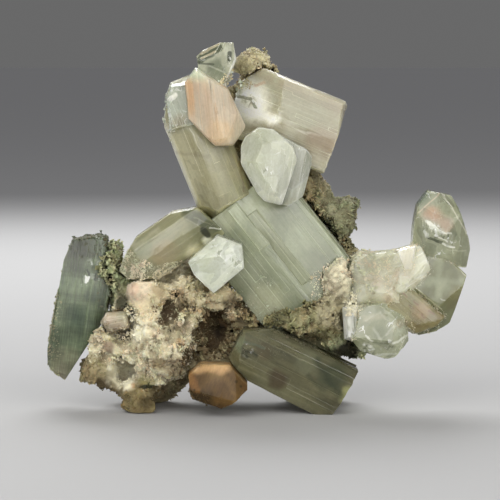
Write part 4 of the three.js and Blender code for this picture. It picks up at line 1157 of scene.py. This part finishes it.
def rock_material():
    g = Graph("rock_stone")
    # the rock's tone, with the painted shade of its creases and hollows already in it
    tone = g.node("ShaderNodeVertexColor", layer_name="shaded_crust_tone").outputs["Color"]
    blotch = g.band(g.noise(190, detail=6, rough=0.65), 0.32, 0.7)
    grain = g.noise(1500, detail=6, rough=0.7)
    pits = g.band(g.noise(620, detail=4), 0.5, 0.38)
    light = g.shades(tone, 1.18, 0.92)
    dark = g.shades(tone, 0.74, 1.06)
    colour = g.mix(blotch, dark, light)
    colour = g.mix(g.times(pits, 0.35), colour, dark)
    colour = with_stains_and_painted_light(g, g.mix(g.band(grain, 0.35, 0.68, (0, 0.5)), colour, light))
    bump = g.bump(grain, 0.4, 0.0003, g.vector("NORMALIZE", g.attribute("ground", "Vector")))
    bump = g.bump(g.noise(520, detail=5), 0.4, 0.0005, bump)
    return g.surface({
        "Base Color": colour, "Roughness": g.band(grain, 0.3, 0.7, (0.5, 0.85)), "Normal": bump,
        "Specular IOR Level": 0.25, "Subsurface Weight": 0.7, "Subsurface Radius": (1.0, 0.9, 0.75),
        "Subsurface Scale": 0.002})


# a four-sided block with a narrower top, and a closed three-sided point, both with their tip side at z = 0
BLOCK = np.array([(x, y, z) for z, w in ((-1.0, 0.46), (0.0, 0.36))
                  for x, y in ((-w, -w), (w, -w), (w, w), (-w, w))])
BLOCK_FACES = np.array([(3, 2, 1, 0), (4, 5, 6, 7), (0, 1, 5, 4), (1, 2, 6, 5), (2, 3, 7, 6), (3, 0, 4, 7)])
POINT = np.array([(0.62 * math.cos(t), 0.62 * math.sin(t), -1.0) for t in (0.3, 2.4, 4.5)]
                 + [(0.1, 0.05, 0.0)])
POINT_FACES = np.array([(2, 1, 0), (0, 1, 3), (1, 2, 3), (2, 0, 3)])
BLOCKS, POINTS = (BLOCK, BLOCK_FACES), (POINT, POINT_FACES)
# places tried on the rock for points and for blades, and on a crystal for its patches and its joints
DRUSE_SAMPLES = 160000
BLADE_SAMPLES = 16000
PATCH_SAMPLES = 60000
JOINT_SAMPLES = 90000


def grains_mesh(name, shape, tips, directions, grounds, widths, lengths, shades, rng, lean=0.6, flat=1):
    """One mesh of small crystals of one shape, each with its tip at a given point and its root inward."""
    shape, shape_faces = shape
    count = len(tips)
    tuft = np.array([noise.noise_vector(Vector(p) * 750) for p in tips])
    z = directions + 2.6 * lean * tuft + rng.normal(0, 0.4 * lean, (count, 3))
    z /= np.linalg.norm(z, axis=1, keepdims=True)
    x = np.cross(rng.normal(0, 1, (count, 3)), z)
    x /= np.linalg.norm(x, axis=1, keepdims=True)
    turn = np.stack((x, np.cross(z, x), z), axis=2)
    uneven = shape[None] * (1 + rng.normal(0, 0.12, (count, len(shape), 3)))
    if shape is BLOCK:
        slant = rng.normal(0, 0.32, (count, 2))
        uneven[:, 4:, 2] += (uneven[:, 4:, :2] * slant[:, None, :]).sum(axis=2)
        uneven[:, 4:, 2] -= 0.36 * np.abs(slant).sum(axis=1)[:, None]
    sizes = np.column_stack((widths * rng.uniform(0.7, 1.3, count), flat * widths, lengths))
    scaled = uneven * sizes[:, None, :]
    co = tips[:, None, :] + np.einsum("nij,nkj->nki", turn, scaled)
    low, high = np.array(cad_box[0]) + 1e-5, np.array(cad_box[1]) - 1e-5
    inside = ((co >= low) & (co <= high)).all(axis=(1, 2))
    co, shades, grounds, count = co[inside], shades[inside], grounds[inside], int(inside.sum())
    faces = shape_faces[None] + (np.arange(count) * len(shape))[:, None, None]
    mesh = bpy.data.meshes.new(name)
    mesh.from_pydata(co.reshape(-1, 3), [], faces.reshape(-1, shape_faces.shape[1]))
    mesh.attributes.new("shade", "FLOAT", "POINT").data.foreach_set("value", np.repeat(shades, len(shape)))
    out = mesh.attributes.new("ground", "FLOAT_VECTOR", "POINT")
    out.data.foreach_set("vector", np.repeat(grounds, len(shape), axis=0).ravel())
    mesh.update()
    return mesh


def in_crystals(points, margin):
    """Whether each point (metres) lies in one of the large crystals, or within margin of it."""
    local = points / MM - SHIFT
    inside = np.zeros(len(points), bool)
    for name in CRYSTALS:
        at, turn, normals, distances = half_spaces(name)
        inside |= (((local - at) @ turn) @ normals.T <= distances + margin).all(axis=1)
    return inside


def grown_sizes(size, rng, rows):
    """Uneven grain sizes round one given in millimetres, in metres."""
    return size * np.clip(rng.lognormal(-0.1, 0.4, len(rows)), 0.4, 2.2) * MM


def grow_crusts(count, shape, label, grow, lean, flat, shares):
    """Grains of one shape on the rock. grow scales the grain size; shares thins them out by crust."""
    rng = np.random.default_rng(len(label))
    co, tri = mesh_arrays(base_mesh)
    points, normals, pick = sample_surface(co, tri, count, rng)
    shades, grounds = base_shade[tri[pick, 0]], base_ground[tri[pick, 0]]
    free = (points[:, 2] > 0.0007) & ~in_crystals(points + normals * 0.0006, 0.1)
    points, normals, shades, grounds = points[free], normals[free], shades[free], grounds[free]
    weights = crust_weights(points, 0.08)
    kind = (weights.cumsum(axis=1) < rng.random(len(points))[:, None]).sum(axis=1)
    for index, name in enumerate(KINDS):
        crust = CRUSTS[name]
        rows = np.where(kind == index)[0]
        rows = rows[rng.random(len(rows)) < crust.get("share", 1) * shares.get(name, 1)]
        if len(rows) == 0:
            continue
        size = grow * crust["size"] * np.clip(rng.lognormal(-0.05, 0.38, len(rows)), 0.4, 1.9) * MM
        rise = np.minimum(size * rng.uniform(0.25, 0.85, len(rows)), 0.0007)
        # painted shade of each grain, from the rock under it and a little uneven; some grains in the hollows
        # are left lighter
        tips = 0.15 + shades[rows] + rng.normal(0, 0.13, len(rows))
        tips += 0.45 * ((rng.random(len(rows)) < 0.2) & (shades[rows] < 0.35))
        mesh = grains_mesh(label + name, shape, points[rows] + normals[rows] * rise[:, None], normals[rows],
                           grounds[rows], size * 0.8, size * 1.6, np.clip(tips, 0.15, 1.08), rng, lean, flat)
        finish_piece(label + name, mesh, "matrix_rock", crust_stones[name])


# node, front-view centre, reach across and up, kind, size, count, and whether the back has it too
PATCHES = [
    ("central_apophyllite", (0.5, 28.0), (4.6, 5.2), "sugar", 0.32, 1500, False),
    ("central_apophyllite", (8.5, 22.5), (6.5, 3.0), "tan", 0.4, 1400, False),
    ("central_apophyllite", (17.5, 32.0), (4.6, 5.0), "root", 0.32, 1800, True),
    ("central_apophyllite", (-23.2, 77.0), (1.6, 8.0), "ice", 0.4, 260, True),
    ("central_apophyllite", (-5.2, 85.4), (3.4, 2.4), "crown", 0.55, 900, True),
    ("central_apophyllite", (-6.6, 84.4), (2.4, 2.8), "ice", 0.6, 500, True),
    ("dark_apophyllite", (-53.4, 25.0), (1.8, 17.0), "lichen", 0.4, 1200, True),
    ("dark_apophyllite", (-43.5, 43.5), (6.0, 3.4), "teal", 0.42, 1400, True),
    ("dark_apophyllite", (-40.0, 34.0), (2.0, 8.0), "teal", 0.45, 900, True),
    ("cream_apophyllite", (-33.8, 38.2), (4.0, 3.4), "frost", 0.3, 1400, True),
    ("cream_apophyllite", (-27.0, 36.6), (10.0, 2.2), "root", 0.3, 4200, True),
    ("right_apophyllite", (25.0, 34.0), (6.0, 8.0), "frost", 0.34, 5000, True),
    ("right_apophyllite", (23.6, 33.0), (1.6, 7.0), "root", 0.5, 1400, True),
    ("right_apophyllite", (33.5, 36.0), (6.0, 4.0), "frost", 0.22, 1200, True),
    ("right_apophyllite", (40.5, 27.5), (3.6, 4.0), "tan", 0.2, 400, True),
    ("right_apophyllite", (37.4, 22.6), (2.6, 2.4), "frost", 0.2, 500, True),
    ("lower_apophyllite", (4.0, 18.5), (12.0, 3.2), "smoke", 0.24, 1600, True),
    ("peach_stilbite", (-15.5, 4.6), (4.2, 2.6), "umber", 0.3, 1600, True),
    ("lilac_crystal", (-38.6, 22.4), (4.0, 1.8), "blush", 0.3, 900, True),
]
# kinds that grow only in patches on the crystals
CRUSTS.update({
    "sugar": dict(tones=[(172, 176, 150), (190, 194, 172), (160, 164, 138)]),
    "ice": dict(tones=[(190, 198, 180), (216, 222, 210), (170, 178, 158)]),
    "lichen": dict(tones=[(150, 148, 114), (166, 162, 128), (130, 132, 102)]),
    "frost": dict(tones=[(206, 202, 172), (214, 212, 184), (198, 190, 160)]),
    "umber": dict(tones=[(84, 66, 42), (110, 90, 60), (66, 52, 32)]),
    "blush": dict(tones=[(172, 154, 130), (186, 172, 146), (148, 132, 108)]),
    "teal": dict(tones=[(78, 84, 64), (98, 104, 82), (62, 68, 50), (106, 98, 72)]),
    "smoke": dict(tones=[(100, 98, 74), (114, 112, 88), (86, 84, 62)]),
})
crust_stones = {name: druse_material(name + "_crust", crust["tones"], crust.get("calm", 0.9))
                for name, crust in CRUSTS.items()}


def grow_patches():
    rng = np.random.default_rng(23)
    grown = {}
    for node, (x, z), (across, up), kind, size, count, both in PATCHES:
        co, tri = mesh_arrays(NODES[node].data)
        points, normals, _ = sample_surface(co, tri, PATCH_SAMPLES, rng)
        local = points / MM - SHIFT
        far = np.hypot((local[:, 0] - x) / across, (local[:, 2] - z) / up)
        rows = np.where((far < 1.6) & (both | (normals[:, 1] < 0.2)))[0]
        uneven = np.array([noise.noise(Vector(points[i]) * 260) + 0.5 * noise.noise(Vector(points[i]) * 800)
                           for i in rows])
        rows = rows[far[rows] + 0.7 * uneven < 1][:count]
        sizes = grown_sizes(size, rng, rows)
        grown.setdefault((kind, node), []).append(
            (points[rows] + normals[rows] * sizes[:, None] * 0.3, normals[rows], sizes))
    for (kind, node), parts in grown.items():
        tips, normals, sizes = (np.concatenate([part[i] for part in parts]) for i in range(3))
        name = "crust_" + kind + "_on_" + node
        mesh = grains_mesh(name, POINTS, tips, normals, normals, sizes, sizes * 1.4,
                           rng.uniform(0.88, 1.06, len(tips)), rng)
        finish_piece(name, mesh, node, crust_stones[kind])


def grow_joints(node, kind, size, count, reach):
    """A fine crust along the lines where crystals of one piece grow through each other."""
    rng = np.random.default_rng(31)
    co, tri = mesh_arrays(NODES[node].data)
    points, normals, _ = sample_surface(co, tri, JOINT_SAMPLES, rng)
    local = points / MM - SHIFT
    outside = []
    for name in GROWN[node]:
        at, turn, face_normals, distances = half_spaces(name)
        outside.append((((local - at) @ turn) @ face_normals.T - distances).max(axis=1))
    second = np.sort(np.array(outside), axis=0)[1]
    width = reach * np.array([0.35 + 1.3 * abs(noise.noise(Vector(p) * 300)) for p in points])
    rows = np.where((second > 0) & (second < width))[0][:count]
    sizes = grown_sizes(size, rng, rows)
    mesh = grains_mesh("joints_" + node, POINTS, points[rows] + normals[rows] * sizes[:, None] * 0.35,
                       normals[rows], normals[rows], sizes, sizes * 1.4,
                       rng.uniform(0.88, 1.06, len(rows)), rng)
    finish_piece("joints_" + node, mesh, node, crust_stones[kind])


base_mesh, base_shade, base_ground = matrix_base()
finish_piece("matrix_base", base_mesh, "matrix_rock", rock_material())
grow_crusts(DRUSE_SAMPLES, POINTS, "druse_", 0.95, 0.42, 1, {})
grow_crusts(BLADE_SAMPLES, BLOCKS, "blades_", 1.5, 0.5, 0.3, {"rock": 0.6, "pink": 0})
grow_patches()
grow_joints("right_apophyllite", "frost", 0.22, 3000, 0.8)


# ---------------------------------------------------------------- floor, light, camera

floor_mesh = bpy.data.meshes.new("floor")
floor_mesh.from_pydata([(-40, -40, 0), (40, -40, 0), (40, 40, 0), (-40, 40, 0)], [], [(0, 1, 2, 3)])
floor = new_object("floor", floor_mesh)
floor_paint = Graph("floor_paint").surface({"Base Color": (0.46, 0.46, 0.46), "Roughness": 0.9})
floor.data.materials.append(floor_paint)

world = bpy.data.worlds.new("studio")
bpy.context.scene.world = world
world.use_nodes = True
sky = world.node_tree
direction = sky.nodes.new("ShaderNodeTexCoord").outputs["Generated"]
height = sky.nodes.new("ShaderNodeSeparateXYZ")
sky.links.new(direction, height.inputs[0])
ramp = sky.nodes.new("ShaderNodeValToRGB")
ramp.color_ramp.elements[0].position, ramp.color_ramp.elements[0].color = 0.03, (0.14, 0.14, 0.14, 1)
ramp.color_ramp.elements[1].position, ramp.color_ramp.elements[1].color = 0.45, (0.28, 0.28, 0.29, 1)
sky.links.new(height.outputs["Z"], ramp.inputs["Fac"])
sky.links.new(ramp.outputs["Color"], sky.nodes["Background"].inputs["Color"])


def area_light(name, at, towards, size, power, colour=(1, 1, 1)):
    light = bpy.data.lights.new(name, "AREA")
    light.size = size
    light.energy = power
    light.color = colour
    obj = new_object(name, light)
    obj.location = at
    obj.rotation_euler = (Vector(towards) - Vector(at)).to_track_quat("-Z", "Y").to_euler()


MIDDLE = (0, 0, 0.045)
area_light("key", (-0.55, -0.85, 0.6), MIDDLE, 1.0, 6, (1, 0.985, 0.95))
area_light("fill", (0.7, -0.8, 0.35), MIDDLE, 1.0, 5.5, (1, 0.99, 0.96))
area_light("front", (0, -1.3, 0.35), MIDDLE, 1.2, 13, (1, 0.99, 0.96))
area_light("back", (-0.1, 0.6, 0.6), MIDDLE, 0.6, 6)

target = Vector((-0.0021, -0.0022, 0.0415))
DISTANCE = 0.7
ELEVATION = math.radians(4)
camera = new_object("camera", bpy.data.cameras.new("camera"))
camera.data.sensor_width = 36
camera.data.lens = 194
camera.data.clip_start = 0.01
camera.data.clip_end = 100
camera.location = target + DISTANCE * Vector((0, -math.cos(ELEVATION), math.sin(ELEVATION)))
camera.rotation_euler = (target - camera.location).to_track_quat("-Z", "Y").to_euler()
bpy.context.scene.camera = camera
bpy.context.scene.view_settings.view_transform = "Standard"

bpy.context.view_layer.update()
